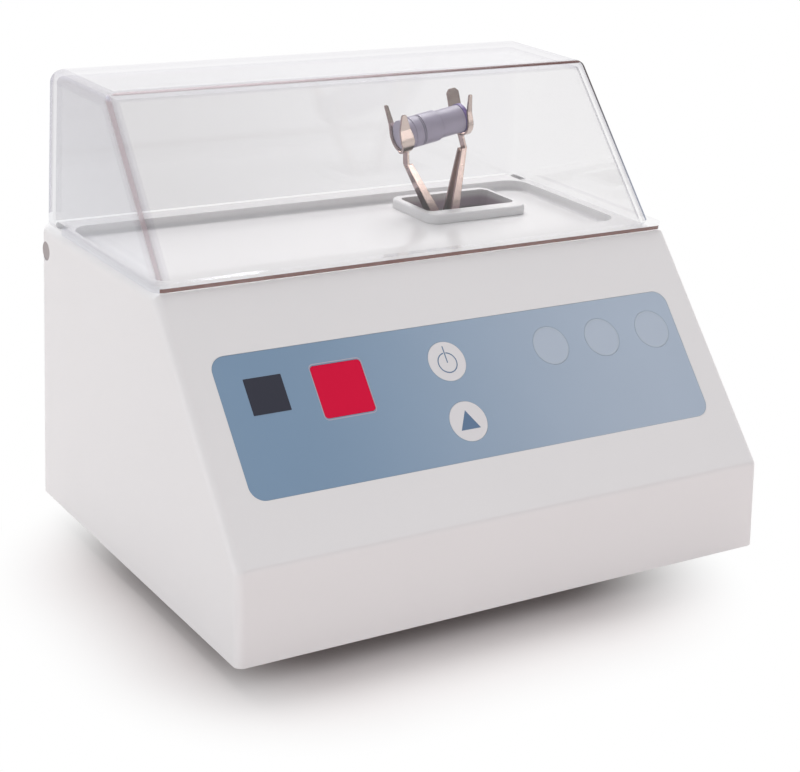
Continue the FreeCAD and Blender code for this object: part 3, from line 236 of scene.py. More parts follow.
def mix_colour(tree, mask, first, second):
    node = add(tree, "ShaderNodeMix", data_type="RGBA")
    for socket, value in ((node.inputs[0], mask), (node.inputs[6], first), (node.inputs[7], second)):
        if isinstance(value, (int, float)):
            socket.default_value = value
        elif isinstance(value, tuple):
            socket.default_value = (*value, 1) if len(value) == 3 else value
        else:
            tree.links.new(value, socket)
    return node.outputs[2]


moulded, source, result = new_group(
    "moulded_surface",
    [
        ("Colour", "colour"),
        ("Shade", "value"),
        ("Grain Scale", "value"),
        ("Grain Depth", "value"),
        ("Roughness", "value"),
        ("Roughness Spread", "value"),
    ],
    [("Colour", "colour"), ("Roughness", "value"), ("Normal", "vector")],
)
place = add(moulded, "ShaderNodeTexCoord").outputs["Object"]
flow_scale = 14.0
blotch_scale = 55.0
grain = noise(moulded, place, source.outputs["Grain Scale"], 3.0)
flow = noise(moulded, place, flow_scale, 3.0)
shade = math_node(moulded, "MULTIPLY", flow, source.outputs["Shade"])
dark = add(moulded, "ShaderNodeHueSaturation")
moulded.links.new(source.outputs["Colour"], dark.inputs["Color"])
moulded.links.new(math_node(moulded, "SUBTRACT", 1.0, shade), dark.inputs["Value"])
moulded.links.new(dark.outputs["Color"], result.inputs["Colour"])
blotch = math_node(moulded, "SUBTRACT", noise(moulded, place, blotch_scale, 4.0), 0.5)
uneven = math_node(moulded, "MULTIPLY", blotch, source.outputs["Roughness Spread"])
rough = math_node(moulded, "ADD", uneven, source.outputs["Roughness"])
moulded.links.new(rough, result.inputs["Roughness"])
bump = add(moulded, "ShaderNodeBump")
bump.inputs["Strength"].default_value = 1.0
moulded.links.new(source.outputs["Grain Depth"], bump.inputs["Distance"])
moulded.links.new(grain, bump.inputs["Height"])
moulded.links.new(bump.outputs["Normal"], result.inputs["Normal"])


def feed_shader(tree, group, settings):
    """Adds a surface group set to plain numbers and colours, and feeds the shader from it."""
    shader = tree.nodes["Principled BSDF"]
    surface = add(tree, "ShaderNodeGroup", node_tree=group)
    for label, value in settings.items():
        surface.inputs[label].default_value = (*value, 1) if isinstance(value, tuple) else value
    for label, socket in (("Colour", "Base Color"), ("Roughness", "Roughness"), ("Normal", "Normal")):
        tree.links.new(surface.outputs[label], shader.inputs[socket])


def moulded_plastic(name, colour, roughness, shade=0.05, grain=1500.0, depth=0.00002, spread_by=0.08):
    """A moulded plastic or rubber: slight flow shades, a fine grain and uneven gloss."""
    material, tree = new_material(name)
    settings = {"Colour": colour, "Shade": shade, "Grain Scale": grain, "Grain Depth": depth}
    feed_shader(tree, moulded, {**settings, "Roughness": roughness, "Roughness Spread": spread_by})
    return material


def dress(material, *names):
    """Puts a material on CAD nodes, in every slot they have."""
    for name in names:
        node = frame["nodes"][name]
        if not node.material_slots:
            node.data.materials.append(material)
        for slot in node.material_slots:
            slot.material = material


satin_white = (0.80, 0.79, 0.79)
painted_light_white = (0.86, 0.85, 0.845)
well_shade_mauve = (0.50, 0.40, 0.475)
white_moulding = moulded_plastic("white_moulding", satin_white, 0.42, 0.03, 2200.0, 0.00001, 0.06)
tree = white_moulding.node_tree
shader = tree.nodes["Principled BSDF"]
surface = tree.nodes["Group"]
deck_face = add(tree, "ShaderNodeNewGeometry").outputs["Normal"]
facing = add(tree, "ShaderNodeVectorMath", operation="DOT_PRODUCT")
facing.inputs[1].default_value = (0, 0, 1)
tree.links.new(deck_face, facing.inputs[0])
level_enough = 0.97
polish_gain = 0.24
polish_and_painted_light = math_node(tree, "GREATER_THAN", facing.outputs["Value"], level_enough)
smoother = math_node(tree, "MULTIPLY", polish_and_painted_light, polish_gain)
gloss = math_node(tree, "SUBTRACT", surface.outputs["Roughness"], smoother)
collar_low, collar_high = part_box("well_collar")
# The well lies a little behind the middle of its collar, whose front wall is the thickest.
well_offset = Vector((0, 1.0, 0)) * MM
collar_wall = Vector((2.2, 4.7, 0)) * MM
well_shade_start = 1.2 * MM
well_shade_full = 4.0 * MM
well_middle = (collar_low + collar_high) / 2 + well_offset
well_half = (collar_high - collar_low) / 2 - collar_wall
from_middle = add(tree, "ShaderNodeVectorMath", operation="SUBTRACT")
tree.links.new(add(tree, "ShaderNodeTexCoord").outputs["Object"], from_middle.inputs[0])
from_middle.inputs[1].default_value = well_middle
well_place = add(tree, "ShaderNodeSeparateXYZ")
tree.links.new(from_middle.outputs[0], well_place.inputs[0])
across_well = math_node(tree, "ABSOLUTE", well_place.outputs["X"])
along_well = math_node(tree, "ABSOLUTE", well_place.outputs["Y"])
in_well = math_node(
    tree,
    "MULTIPLY",
    math_node(tree, "LESS_THAN", across_well, well_half.x),
    math_node(tree, "LESS_THAN", along_well, well_half.y),
)
# Inside the well the walls are painted mauve, fading in from just below the rim: a painted shade.
sunk = ramp(tree, well_place.outputs["Z"], well_half.z - well_shade_full, well_half.z - well_shade_start, 1.0, 0.0)
painted_darkening = math_node(tree, "MULTIPLY", in_well, sunk)
# Every upward face is painted a lighter white, a painted light, besides the real polish in its roughness.
upper_colour = mix_colour(tree, polish_and_painted_light, surface.outputs["Colour"], painted_light_white)
tree.links.new(mix_colour(tree, painted_darkening, upper_colour, well_shade_mauve), shader.inputs["Base Color"])
tree.links.new(gloss, shader.inputs["Roughness"])
dress(white_moulding, "housing_shell", "tray_plate", "well_collar")


# ---- Base ----
# A zinc-plated steel plate closes the shell from below, held by four screws. The mixer stands
# on four rubber feet, each with its own screw sunk into it.
plated, source, result = new_group(
    "plated_metal",
    [("Colour", "colour"), ("Tarnish", "colour"), ("Roughness", "value"), ("Streak Depth", "value")],
    [("Colour", "colour"), ("Roughness", "value"), ("Normal", "vector")],
)
place = add(plated, "ShaderNodeTexCoord").outputs["Object"]
cloud_scale = 60.0
cloud_strength = 0.7
streak_scale = 900.0
streak_roughness = 0.16
rolled = (0.05, 1.0, 1.0)
cloud = spread(plated, noise(plated, place, cloud_scale, 4.0), 0.0, cloud_strength)
streak = noise(plated, place, streak_scale, 2.0, rolled)
clouded = mix_colour(plated, cloud, source.outputs["Colour"], source.outputs["Tarnish"])
plated.links.new(clouded, result.inputs["Colour"])
uneven = math_node(plated, "MULTIPLY", math_node(plated, "SUBTRACT", streak, 0.5), streak_roughness)
rough = math_node(plated, "ADD", uneven, source.outputs["Roughness"])
plated.links.new(rough, result.inputs["Roughness"])
bump = add(plated, "ShaderNodeBump")
bump.inputs["Strength"].default_value = 1.0
plated.links.new(source.outputs["Streak Depth"], bump.inputs["Distance"])
plated.links.new(streak, bump.inputs["Height"])
plated.links.new(bump.outputs["Normal"], result.inputs["Normal"])


def metal(name, colour, tarnish, roughness, streak_depth=0.000004):
    """A bare or plated metal with slight clouding and rolling streaks."""
    material, tree = new_material(name)
    settings = {"Colour": colour, "Tarnish": tarnish, "Roughness": roughness, "Streak Depth": streak_depth}
    feed_shader(tree, plated, settings)
    tree.nodes["Principled BSDF"].inputs["Metallic"].default_value = 1.0
    return material


zinc_plate = metal("zinc_plate", (0.62, 0.62, 0.60), (0.50, 0.52, 0.55), 0.34)
dress(zinc_plate, "base_plate", "foot_screws", "base_screws")
foot_rubber = moulded_plastic("foot_rubber", (0.045, 0.045, 0.047), 0.78, 0.3, 900.0, 0.00006, 0.15)
dress(foot_rubber, "rubber_feet")


# ---- Label ----
# A printed polyester film lies in the slope's pocket. It is slate blue with a fine matt tooth, and
# is painted paler towards its right end as a painted sheen. A plain dark square is printed at its
# left end, and a thin pale line round the display's window.
slate_blue = (0.205, 0.315, 0.450)
sheen_blue = (0.430, 0.510, 0.615)
film_tooth = 3200.0
ink_depth = 0.000006
label_blue = moulded_plastic("label_blue", slate_blue, 0.46, 0.10, film_tooth, ink_depth, 0.05)
tree = label_blue.node_tree
label_low, label_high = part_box("label_overlay")
split = add(tree, "ShaderNodeSeparateXYZ")
tree.links.new(add(tree, "ShaderNodeTexCoord").outputs["Object"], split.inputs[0])
# The film is painted paler towards its right end: a painted sheen.
painted_sheen = ramp(tree, split.outputs["X"], label_low.x * 0.9, label_high.x * 0.9, 0.0, 1.0)
tree.links.new(mix_colour(tree, painted_sheen, slate_blue, sheen_blue), tree.nodes["Group"].inputs["Colour"])
dress(label_blue, "label_overlay")
press_joint = next(j for j in frame["joints"] if j["child"] == "power_button")
slope_out = -Vector(press_joint["axis"]).normalized()
across = Vector((1, 0, 0))
up_slope = slope_out.cross(across)


def face_centre(node):
    """The middle of a slope piece's outer face."""
    points = [v.co for v in frame["nodes"][node].data.vertices]
    top = max(p.dot(slope_out) for p in points)
    face = [p for p in points if p.dot(slope_out) > top - 0.01 * MM]
    xs = [p.x for p in face]
    us = [p.dot(up_slope) for p in face]
    middle_u = (min(us) + max(us)) / 2
    return across * (min(xs) + max(xs)) / 2 + up_slope * middle_u + slope_out * top


def ink_piece(name, middle, outlines, material, body, thickness=0.03 * MM):
    """A print on the slope: closed outlines of (x, u) in metres about middle, a little proud."""
    points = []
    faces = []
    for outline in outlines:
        start = len(points)
        for height in (0, thickness):
            for x, u in outline:
                points.append(middle + across * x + up_slope * u + slope_out * height)
        count = len(outline)
        faces.append(tuple(range(start + count, start + 2 * count)))
        for i in range(count):
            j = (i + 1) % count
            faces.append((start + i, start + j, start + count + j, start + count + i))
    mesh = bpy.data.meshes.new(name)
    mesh.from_pydata(points, [], faces)
    mesh.materials.append(material)
    piece = bpy.data.objects.new(name, mesh)
    bpy.context.scene.collection.objects.link(piece)
    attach(piece, body)
    return piece


def strip(points, width, closed=False):
    """Quads of one width along a line of (x, u) points, each a little longer than its step."""
    overlap = 0.02
    pieces = []
    count = len(points)
    for i in range(count if closed else count - 1):
        a = Vector(points[i])
        b = Vector(points[(i + 1) % count])
        side = (b - a).normalized().orthogonal() * width / 2
        along = (b - a).normalized() * width * overlap
        corners = (a - side - along, b - side + along, b + side + along, a + side - along)
        pieces.append([tuple(corner) for corner in corners])
    return pieces


def rounded_rectangle(width, height, radius, steps=8):
    points = []
    for sx, sy, start in ((1, 1, 0), (-1, 1, 90), (-1, -1, 180), (1, -1, 270)):
        for i in range(steps + 1):
            angle = math.radians(start + 90 * i / steps)
            x = sx * (width / 2 - radius) + radius * math.cos(angle)
            y = sy * (height / 2 - radius) + radius * math.sin(angle)
            points.append((x, y))
    return points


label_middle = face_centre("label_overlay")
square_side = 14.3 * MM
square_height = 13.3 * MM
square_from_left = 17.0 * MM
square_up = 10.0 * MM
square_corner = 0.2 * MM
dark_ink = moulded_plastic("dark_ink", (0.010, 0.012, 0.030), 0.5, 0.2, film_tooth, ink_depth, 0.05)
square_right = label_low.x + square_from_left - label_middle.x
square_place = label_middle + across * square_right + up_slope * square_up
square_outline = rounded_rectangle(square_side, square_height, square_corner, 2)
dark_square = ink_piece("dark_square", square_place, [square_outline], dark_ink, "chassis")


# ---- Display ----
# A red polycarbonate window is glued flush in the label over a seven-segment display, which is
# dark while the mixer is off.
window_red = moulded_plastic("window_red", (0.72, 0.006, 0.050), 0.40, 0.10, 2600.0, 0.000004, 0.05)
window_red.node_tree.nodes["Principled BSDF"].inputs["Specular IOR Level"].default_value = 0.12
dress(window_red, "display_window")
window_low, window_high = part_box("display_window")
line_width = 0.28 * MM
line_corner = 1.6 * MM
line_spare_across = 0.5 * MM
line_spare_up = 0.1 * MM
window_width = window_high.x - window_low.x + line_spare_across
window_rise = (window_high - window_low).dot(up_slope) + line_spare_up
window_edge = rounded_rectangle(window_width, window_rise, line_corner)
window_outline = strip(window_edge, line_width, closed=True)
pale_ink = moulded_plastic("pale_ink", (0.50, 0.44, 0.50), 0.5, 0.1, film_tooth, ink_depth, 0.05)
window_line = ink_piece("window_line", face_centre("display_window"), window_outline, pale_ink, "chassis")
display_black = moulded_plastic("display_black", (0.02, 0.02, 0.022), 0.4)
dress(display_black, "display_module")


# ---- Keys ----
# Five round membrane keys lie flush in the label, each with a flange and a stem behind it. The
# power key and the up key are off-white with slate blue signs, and the presets are pale blue.
off_white = (0.76, 0.745, 0.755)
pale_blue = (0.465, 0.535, 0.63)
key_white = moulded_plastic("key_white", off_white, 0.45, 0.05, film_tooth, ink_depth, 0.05)
key_pale_blue = moulded_plastic("key_pale_blue", pale_blue, 0.46, 0.08, film_tooth, ink_depth, 0.05)
dress(key_white, "power_button", "up_button")
dress(key_pale_blue, "preset_button_1", "preset_button_2", "preset_button_3")
key_radius = 7.5 * MM
sign_ink = moulded_plastic("sign_ink", (0.115, 0.195, 0.32), 0.5, 0.08, film_tooth, ink_depth, 0.05)

ring_radius = key_radius * 0.5
ring_drop = key_radius * 0.07
ring_line = 0.42 * MM
ring_open = 15.0
ring_steps = 48
ring = []
for i in range(ring_steps + 1):
    angle = math.radians(90 + ring_open / 2 + (360 - ring_open) * i / ring_steps)
    ring.append((ring_radius * math.cos(angle), ring_radius * math.sin(angle) - ring_drop))
bar = [(0, key_radius * 0.78), (0, -ring_drop)]
power_outline = strip(ring, ring_line) + strip(bar, ring_line)
power_sign = ink_piece("power_sign", face_centre("power_button"), power_outline, sign_ink, "power_button")

arrow_half = key_radius * 0.54
arrow_low = -key_radius * 0.40
arrow_high = key_radius * 0.56
arrow = [(-arrow_half, arrow_low), (arrow_half, arrow_low), (0, arrow_high)]
up_sign = ink_piece("up_sign", face_centre("up_button"), [arrow], sign_ink, "up_button")

rim_ink = moulded_plastic("rim_ink", (0.47, 0.54, 0.62), 0.5, 0.08, film_tooth, ink_depth, 0.05)
rim_line = 0.55 * MM
rim_radius = key_radius - rim_line * 0.7
circle = []
for i in range(ring_steps):
    angle = math.radians(i * 360 / ring_steps)
    circle.append((rim_radius * math.cos(angle), rim_radius * math.sin(angle)))
rim_outline = strip(circle, rim_line, closed=True)
for number in (1, 2, 3):
    name = f"preset_button_{number}"
    rim = ink_piece(f"preset_rim_{number}", face_centre(name), rim_outline, rim_ink, name)


# ---- Keypad board ----
# Behind the slope a green circuit board carries the display and five push switches. Six screws
# hold it to posts moulded on the shell.
circuit, source, result = new_group(
    "circuit_board",
    [("Mask", "colour"), ("Track", "colour")],
    [("Colour", "colour"), ("Height", "value")],
)
place = add(circuit, "ShaderNodeTexCoord").outputs["Object"]
tracks = add(circuit, "ShaderNodeTexBrick")
tracks.inputs["Scale"].default_value = 140.0
tracks.inputs["Mortar Size"].default_value = 0.05
tracks.inputs["Color1"].default_value = (0, 0, 0, 1)
tracks.inputs["Color2"].default_value = (0, 0, 0, 1)
tracks.inputs["Mortar"].default_value = (1, 1, 1, 1)
circuit.links.new(place, tracks.inputs["Vector"])
line = add(circuit, "ShaderNodeRGBToBW")
circuit.links.new(tracks.outputs["Color"], line.inputs[0])
printed = mix_colour(circuit, line.outputs[0], source.outputs["Mask"], source.outputs["Track"])
circuit.links.new(printed, result.inputs["Colour"])
circuit.links.new(line.outputs[0], result.inputs["Height"])
board_green, tree = new_material("board_green")
shader = tree.nodes["Principled BSDF"]
shader.inputs["Roughness"].default_value = 0.34
surface = add(tree, "ShaderNodeGroup", node_tree=circuit)
surface.inputs["Mask"].default_value = (0.012, 0.16, 0.06, 1)
surface.inputs["Track"].default_value = (0.03, 0.26, 0.10, 1)
bump = add(tree, "ShaderNodeBump")
bump.inputs["Distance"].default_value = 0.00003
tree.links.new(surface.outputs["Colour"], shader.inputs["Base Color"])
tree.links.new(surface.outputs["Height"], bump.inputs["Height"])
tree.links.new(bump.outputs["Normal"], shader.inputs["Normal"])
dress(board_green, "keypad_board", "control_board")
black_moulding = moulded_plastic("black_moulding", (0.018, 0.018, 0.02), 0.42, 0.2, 1200.0, 0.00002, 0.1)
dress(black_moulding, "tact_switches")
dress(zinc_plate, "keypad_screws", "board_screws")


# ---- Lid ----
# The hood is formed from clear acrylic sheet with tight bends and a flat flange round its foot.
# Its polished walls are all but colourless, but a painted grey shade lies on its back and left
# walls and in its bends. Its tight bends and its cut front edge carry a darker painted shade, from
# mauve at the left to brown at the right.
lid_low, lid_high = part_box("lid_shell")
lid_clear, tree = new_material("lid_clear")
tree.nodes.clear()
place = add(tree, "ShaderNodeTexCoord").outputs["Object"]
deck_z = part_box("housing_shell")[1].z
flange_thickness = 2.9 * MM
flange_top = deck_z + flange_thickness
# The lid's outer faces: how far back the front is, and how far out the sides are, at foot and top.
lid_front_foot = -0.0145
lid_front_top = 0.0325
lid_half_foot = 0.1054
lid_half_top = 0.1037
lid_rise = lid_high.z - flange_top


def plane_depth(point, normal):
    """How far a point of the lid lies behind a plane through point with an outward normal."""
    normal = Vector(normal).normalized()
    node = add(tree, "ShaderNodeVectorMath", operation="DOT_PRODUCT")
    node.inputs[1].default_value = normal
    tree.links.new(place, node.inputs[0])
    return math_node(tree, "SUBTRACT", Vector(point).dot(normal), node.outputs["Value"])


front_lean = lid_front_top - lid_front_foot
side_lean = lid_half_foot - lid_half_top
depths = {
    "front": plane_depth((0, lid_front_top, lid_high.z), (0, -lid_rise, front_lean)),
    "top": plane_depth((0, 0, lid_high.z), (0, 0, 1)),
    "back": plane_depth((0, lid_high.y, 0), (0, 1, 0)),
    "left": plane_depth((-lid_half_top, 0, lid_high.z), (-lid_rise, 0, side_lean)),
    "right": plane_depth((lid_half_top, 0, lid_high.z), (lid_rise, 0, side_lean)),
}


def near_bend(first, second, inner, outer):
    """1 in the middle of the bend between two walls, fading to 0 where the walls are flat."""
    deeper = math_node(tree, "MAXIMUM", depths[first], depths[second])
    fading = ramp(tree, deeper, inner * MM, outer * MM, 1.0, 0.0)
    return math_node(tree, "MULTIPLY", fading, above_flange)


split = add(tree, "ShaderNodeSeparateXYZ")
tree.links.new(place, split.inputs[0])
flange_spare = 0.2 * MM
above_flange = math_node(tree, "GREATER_THAN", split.outputs["Z"], flange_top + flange_spare)
fade_half = 0.09
to_right = ramp(tree, split.outputs["X"], -fade_half, fade_half, 0.0, 1.0)
to_top = ramp(tree, split.outputs["Z"], deck_z, lid_high.z, 0.0, 1.0)
warm_brown = (0.16, 0.060, 0.045)
red_brown = (0.085, 0.020, 0.016)
dark_brown = (0.030, 0.012, 0.012)
rose_grey = (0.42, 0.315, 0.33)
pale_grey = (0.62, 0.62, 0.65)
steel_blue = (0.24, 0.28, 0.38)
pale_lilac = (0.60, 0.60, 0.72)
brow_colour = mix_colour(tree, to_right, rose_grey, red_brown)
right_colour = mix_colour(tree, to_top, steel_blue, dark_brown)
# Two walls, the depths in millimetres at which the painted shade is whole and gone, its strength at the
# two ends of the bend, the way along the bend, and its colour.
bends = [
    ("front", "left", 1.5, 3.6, 0.22, 0.30, to_top, rose_grey),
    ("front", "left", 1.9, 2.7, 0.46, 0.54, to_top, rose_grey),
    ("back", "left", 1.4, 3.0, 0.50, 0.50, to_top, pale_lilac),
    ("back", "top", 1.4, 3.0, 0.10, 0.10, to_right, pale_lilac),
    ("top", "left", 1.4, 3.0, 0.10, 0.10, to_right, pale_lilac),
    ("top", "right", 1.4, 3.0, 0.12, 0.12, to_right, pale_lilac),
    ("front", "right", 4.4, 5.2, 0.20, 0.20, to_top, pale_grey),
    ("front", "right", 3.1, 3.2, 0.75, 0.98, to_top, right_colour),
    ("front", "top", 0.55, 1.00, 0.62, 0.97, to_right, brow_colour),
]
edge = None
edge_colour = warm_brown
for first, second, inner, outer, weak, strong, along, colour in bends:
    mask = near_bend(first, second, inner, outer)
    strength = spread(tree, along, weak, strong)
    bend = math_node(tree, "MULTIPLY", mask, strength)
    edge_colour = mix_colour(tree, mask, edge_colour, colour)
    edge = bend if edge is None else math_node(tree, "MAXIMUM", edge, bend)
# A painted dark brown shade lies along the foot of the cut front edge.
cut_rise = 1.7 * MM
cut_depth = 0.4 * MM
cut_strength = 0.9
cut_height = math_node(tree, "LESS_THAN", split.outputs["Z"], deck_z + cut_rise)
cut_front = math_node(tree, "LESS_THAN", split.outputs["Y"], lid_low.y + cut_depth)
cut_edge = math_node(tree, "MULTIPLY", cut_height, cut_front)
edge = math_node(tree, "MAXIMUM", edge, math_node(tree, "MULTIPLY", cut_edge, cut_strength))
edge_colour = mix_colour(tree, cut_edge, edge_colour, warm_brown)
wave_scale = 9.0
waves = noise(tree, place, wave_scale, 2.0)
sheet_colour = mix_colour(tree, waves, (0.960, 0.957, 0.960), (0.975, 0.973, 0.972))
# The back wall is painted grey, darker at the left, and the left wall greyer towards the top: painted
# shade.
back_colour = mix_colour(tree, to_right, (0.865, 0.860, 0.866), (0.955, 0.952, 0.957))
side_colour = mix_colour(tree, to_top, (0.930, 0.930, 0.940), (0.885, 0.880, 0.892))
wall_reach = 2.7 * MM
in_back = math_node(tree, "LESS_THAN", depths["back"], wall_reach)
in_side = math_node(tree, "LESS_THAN", depths["left"], wall_reach)
wall_colour = mix_colour(tree, in_back, sheet_colour, back_colour)
wall_colour = mix_colour(tree, in_side, wall_colour, side_colour)
bend_zone = None
for first, second, reach in (
    ("front", "left", 5.2),
    ("front", "right", 5.2),
    ("front", "top", 3.2),
    ("top", "left", 5.2),
    ("top", "right", 5.2),
    ("back", "top", 5.2),
    ("back", "left", 3.4),
):
    zone = near_bend(first, second, reach - 1.0, reach)
    bend_zone = zone if bend_zone is None else math_node(tree, "MAXIMUM", bend_zone, zone)
# The bends are painted a light grey: painted shade.
painted_bend_shade = (0.905, 0.900, 0.915)
wall_colour = mix_colour(tree, bend_zone, wall_colour, painted_bend_shade)
clear = add(tree, "ShaderNodeBsdfTransparent")
tree.links.new(wall_colour, clear.inputs["Color"])
painted_edge_shade = add(tree, "ShaderNodeBsdfPrincipled")
tree.links.new(edge_colour, painted_edge_shade.inputs["Base Color"])
painted_edge_shade.inputs["Roughness"].default_value = 0.30
painted_edge_shade.inputs["Specular IOR Level"].default_value = 0.10
body = add(tree, "ShaderNodeMixShader")
tree.links.new(edge, body.inputs["Fac"])
tree.links.new(clear.outputs[0], body.inputs[1])
tree.links.new(painted_edge_shade.outputs[0], body.inputs[2])
shine = add(tree, "ShaderNodeBsdfGlossy")
shine.inputs["Color"].default_value = (0.97, 0.98, 1.0, 1)
matt_zone = math_node(tree, "MAXIMUM", bend_zone, near_bend("back", "right", 2.4, 3.4))
tree.links.new(spread(tree, matt_zone, 0.03, 0.35), shine.inputs["Roughness"])
acrylic_index = 1.49
from_inside = add(tree, "ShaderNodeNewGeometry").outputs["Backfacing"]
fresnel = add(tree, "ShaderNodeFresnel")
tree.links.new(spread(tree, from_inside, acrylic_index, 1 / acrylic_index), fresnel.inputs["IOR"])
polish = add(tree, "ShaderNodeMixShader")
mirror = math_node(tree, "MULTIPLY", fresnel.outputs[0], spread(tree, matt_zone, 1.0, 0.12))
tree.links.new(mirror, polish.inputs["Fac"])
tree.links.new(body.outputs[0], polish.inputs[1])
tree.links.new(shine.outputs[0], polish.inputs[2])
output = add(tree, "ShaderNodeOutputMaterial")
tree.links.new(polish.outputs[0], output.inputs["Surface"])
dress(lid_clear, "lid_shell")


# ---- Lid hinge and sensor ----
# Two grey acetal pins with round heads are pressed in from the sides and carry the lid's ears.
# A ferrite magnet in the right ear tells the sensor beside it that the lid is shut.
pin_plastic = moulded_plastic("pin_plastic", (0.38, 0.335, 0.335), 0.45, 0.15, 1500.0, 0.00001, 0.1)
dress(pin_plastic, "hinge_pins", "lid_sensor")
ferrite = moulded_plastic("ferrite", (0.05, 0.05, 0.055), 0.62, 0.35, 2600.0, 0.00003, 0.15)
dress(ferrite, "lid_magnet", "motor_magnets")


# ---- Mains inlet ----
# A black three-pin appliance inlet is clipped into the back wall, with a fuse drawer below its
# socket. Its pins are stamped from brass.
dress(black_moulding, "inlet_socket", "fuse_drawer")
brass = metal("brass", (0.72, 0.55, 0.26), (0.60, 0.44, 0.22), 0.26)
dress(brass, "inlet_pins", "board_standoffs", "counterweight")


# ---- Control board and transformer ----
# The control board stands on brass standoffs on the base plate. Beside it is a small laminated
# transformer with a taped copper winding.
component_black = moulded_plastic("component_black", (0.03, 0.032, 0.04), 0.5, 0.3, 1600.0, 0.00003, 0.12)
dress(component_black, "board_components")
def banded(name, bands, scale, distortion, low_colour, high_colour, roughness, depth):
    """Fine bands, such as a stack of sheets or turns of wire, with grooves between them."""
    material, tree = new_material(name)
    shader = tree.nodes["Principled BSDF"]
    wave = add(tree, "ShaderNodeTexWave", bands_direction=bands)
    wave.inputs["Scale"].default_value = scale
    wave.inputs["Distortion"].default_value = distortion
    tree.links.new(add(tree, "ShaderNodeTexCoord").outputs["Object"], wave.inputs["Vector"])
    band = wave.outputs["Fac"]
    tree.links.new(mix_colour(tree, band, low_colour, high_colour), shader.inputs["Base Color"])
    tree.links.new(spread(tree, band, *roughness), shader.inputs["Roughness"])
    bump = add(tree, "ShaderNodeBump")
    bump.inputs["Distance"].default_value = depth
    tree.links.new(band, bump.inputs["Height"])
    tree.links.new(bump.outputs["Normal"], shader.inputs["Normal"])
    return material


dark_steel = (0.10, 0.10, 0.115)
cut_steel = (0.24, 0.24, 0.26)
lamination = banded("lamination", "Y", 320.0, 0.2, dark_steel, cut_steel, (0.55, 0.38), 0.0001)
lamination.node_tree.nodes["Principled BSDF"].inputs["Metallic"].default_value = 0.8
dress(lamination, "transformer_core", "rotor_core")
varnished_copper = (0.22, 0.075, 0.02)
bright_copper = (0.62, 0.27, 0.09)
winding = banded("winding", "Z", 420.0, 0.5, varnished_copper, bright_copper, (0.5, 0.25), 0.00015)
dress(winding, "transformer_coil")
dress(zinc_plate, "transformer_screws")


# ---- Motor ----
# A permanent-magnet motor hangs on an upright steel plate, and the plate's foot floats on four
# rubber mounts. Its shaft turns in a bearing at each end.
dress(zinc_plate, "motor_bracket", "mount_screws", "motor_screws", "guide_bracket", "guide_screws")
can_steel = metal("can_steel", (0.50, 0.51, 0.52), (0.42, 0.43, 0.45), 0.28)
dress(can_steel, "motor_can", "motor_bearings", "motor_shaft", "skew_bush", "guide_pin")
dress(black_moulding, "motor_end_cap")
dress(foot_rubber, "rubber_mounts")


# ---- Fork ----
# A die-cast aluminium hub runs on the skewed bush in a sintered bronze sleeve, and a sprung ring
# keeps it on. Two nickel-plated spring-steel arms are screwed to it, each bent up as a channel
# with a clip at its top.
new_nickel = (0.74, 0.625, 0.55)
dull_nickel = (0.50, 0.385, 0.37)
reflected_mauve = (0.30, 0.205, 0.215)
edge_shade_brown = (0.13, 0.075, 0.062)
edge_radius = 0.35 * MM
nickel = metal("nickel", new_nickel, dull_nickel, 0.20)
tree = nickel.node_tree
face = add(tree, "ShaderNodeNewGeometry").outputs["Normal"]
rounded = add(tree, "ShaderNodeBevel", samples=6)
rounded.inputs["Radius"].default_value = edge_radius
flat = add(tree, "ShaderNodeVectorMath", operation="DOT_PRODUCT")
tree.links.new(rounded.outputs[0], flat.inputs[0])
tree.links.new(face, flat.inputs[1])
# Edges found with the bevel, hollow and rounded alike, are painted dark brown: a painted shade.
edge_shade = ramp(tree, flat.outputs["Value"], 0.995, 0.86, 0.0, 0.85)
# Faces turned to the left, a little forward and down, are painted dark mauve: a painted reflection.
sideways = add(tree, "ShaderNodeVectorMath", operation="DOT_PRODUCT")
sideways.inputs[1].default_value = (-0.95, 0.25, -0.20)
tree.links.new(face, sideways.inputs[0])
painted_darkening = ramp(tree, sideways.outputs["Value"], 0.20, 0.75, 0.0, 0.85)
shaded = mix_colour(tree, painted_darkening, tree.nodes["Group"].outputs["Colour"], reflected_mauve)
nickel_colour = mix_colour(tree, edge_shade, shaded, edge_shade_brown)
tree.links.new(nickel_colour, tree.nodes["Principled BSDF"].inputs["Base Color"])
dress(nickel, "fork_arm_left", "fork_arm_right", "bush_ring")
cast_aluminium = metal("cast_aluminium", (0.66, 0.66, 0.67), (0.55, 0.56, 0.58), 0.42, 0.00001)
dress(cast_aluminium, "fork_hub")
bronze = metal("bronze", (0.52, 0.34, 0.18), (0.38, 0.24, 0.13), 0.44, 0.00001)
dress(bronze, "hub_bush")
dress(zinc_plate, "arm_screws")


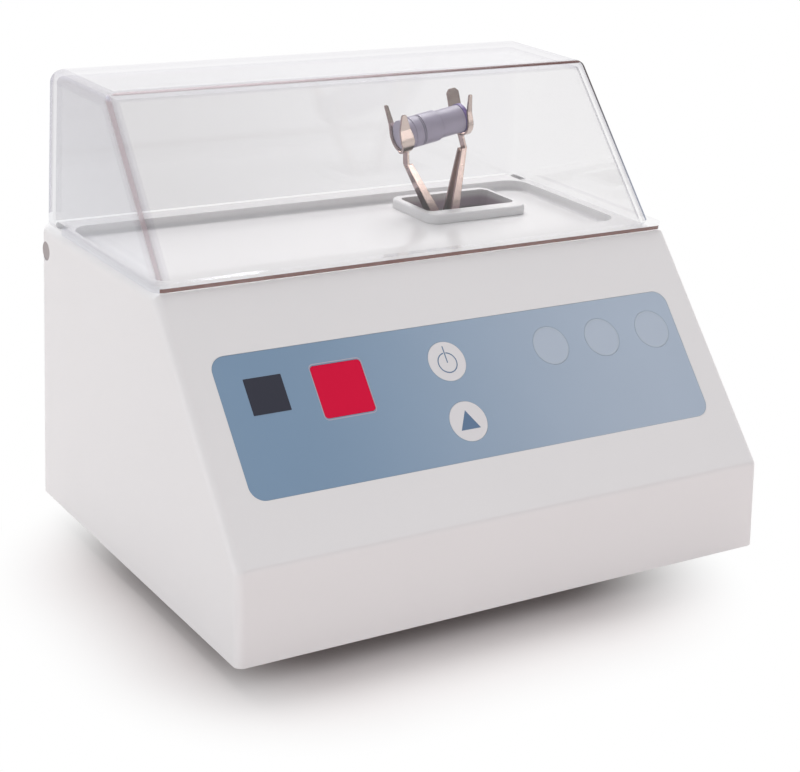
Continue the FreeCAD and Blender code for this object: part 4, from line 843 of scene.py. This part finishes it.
# ---- Capsule ----
# The capsule is two lavender polypropylene tubes pushed together, with a dark violet plug in its
# right end.
lavender = (0.335, 0.305, 0.40)
seam_shadow = (0.045, 0.035, 0.07)
capsule_lavender = moulded_plastic("capsule_lavender", lavender, 0.42, 0.08, 1800.0, 0.00001, 0.08)
tree = capsule_lavender.node_tree
shader = tree.nodes["Principled BSDF"]
surface = tree.nodes["Group"]
capsule_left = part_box("capsule_cap")[0]
capsule_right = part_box("capsule_plug")[1]
capsule_tilt = math.radians(10)
capsule_run = Vector((math.cos(capsule_tilt), 0, math.sin(capsule_tilt)))
capsule_middle = (capsule_left + capsule_right) / 2
place = add(tree, "ShaderNodeTexCoord").outputs["Object"]
along = add(tree, "ShaderNodeVectorMath", operation="DOT_PRODUCT")
along.inputs[1].default_value = capsule_run
tree.links.new(place, along.inputs[0])
run = math_node(tree, "SUBTRACT", along.outputs["Value"], capsule_middle.dot(capsule_run))
seam = None
ring_seams = ((-6.9, 0.28, 0.70), (-6.05, 0.16, 0.40), (1.6, 0.22, 0.35), (2.5, 0.16, 0.25))
for ring_place, ring_width, ring_depth in ring_seams:
    off = math_node(tree, "ABSOLUTE", math_node(tree, "SUBTRACT", run, ring_place * MM))
    line = ramp(tree, off, ring_width * 0.4 * MM, ring_width * MM, ring_depth, 0.0)
    seam = line if seam is None else math_node(tree, "MAXIMUM", seam, line)
capsule_colour = mix_colour(tree, seam, surface.outputs["Colour"], seam_shadow)
tree.links.new(capsule_colour, shader.inputs["Base Color"])
ridges = add(tree, "ShaderNodeBump", invert=True)
ridges.inputs["Distance"].default_value = 0.0002
tree.links.new(seam, ridges.inputs["Height"])
tree.links.new(surface.outputs["Normal"], ridges.inputs["Normal"])
tree.links.new(ridges.outputs["Normal"], shader.inputs["Normal"])
dress(capsule_lavender, "capsule_cap", "capsule_body")
plug_violet = moulded_plastic("plug_violet", (0.10, 0.05, 0.26), 0.38, 0.1, 1800.0, 0.00001, 0.08)
dress(plug_violet, "capsule_plug")
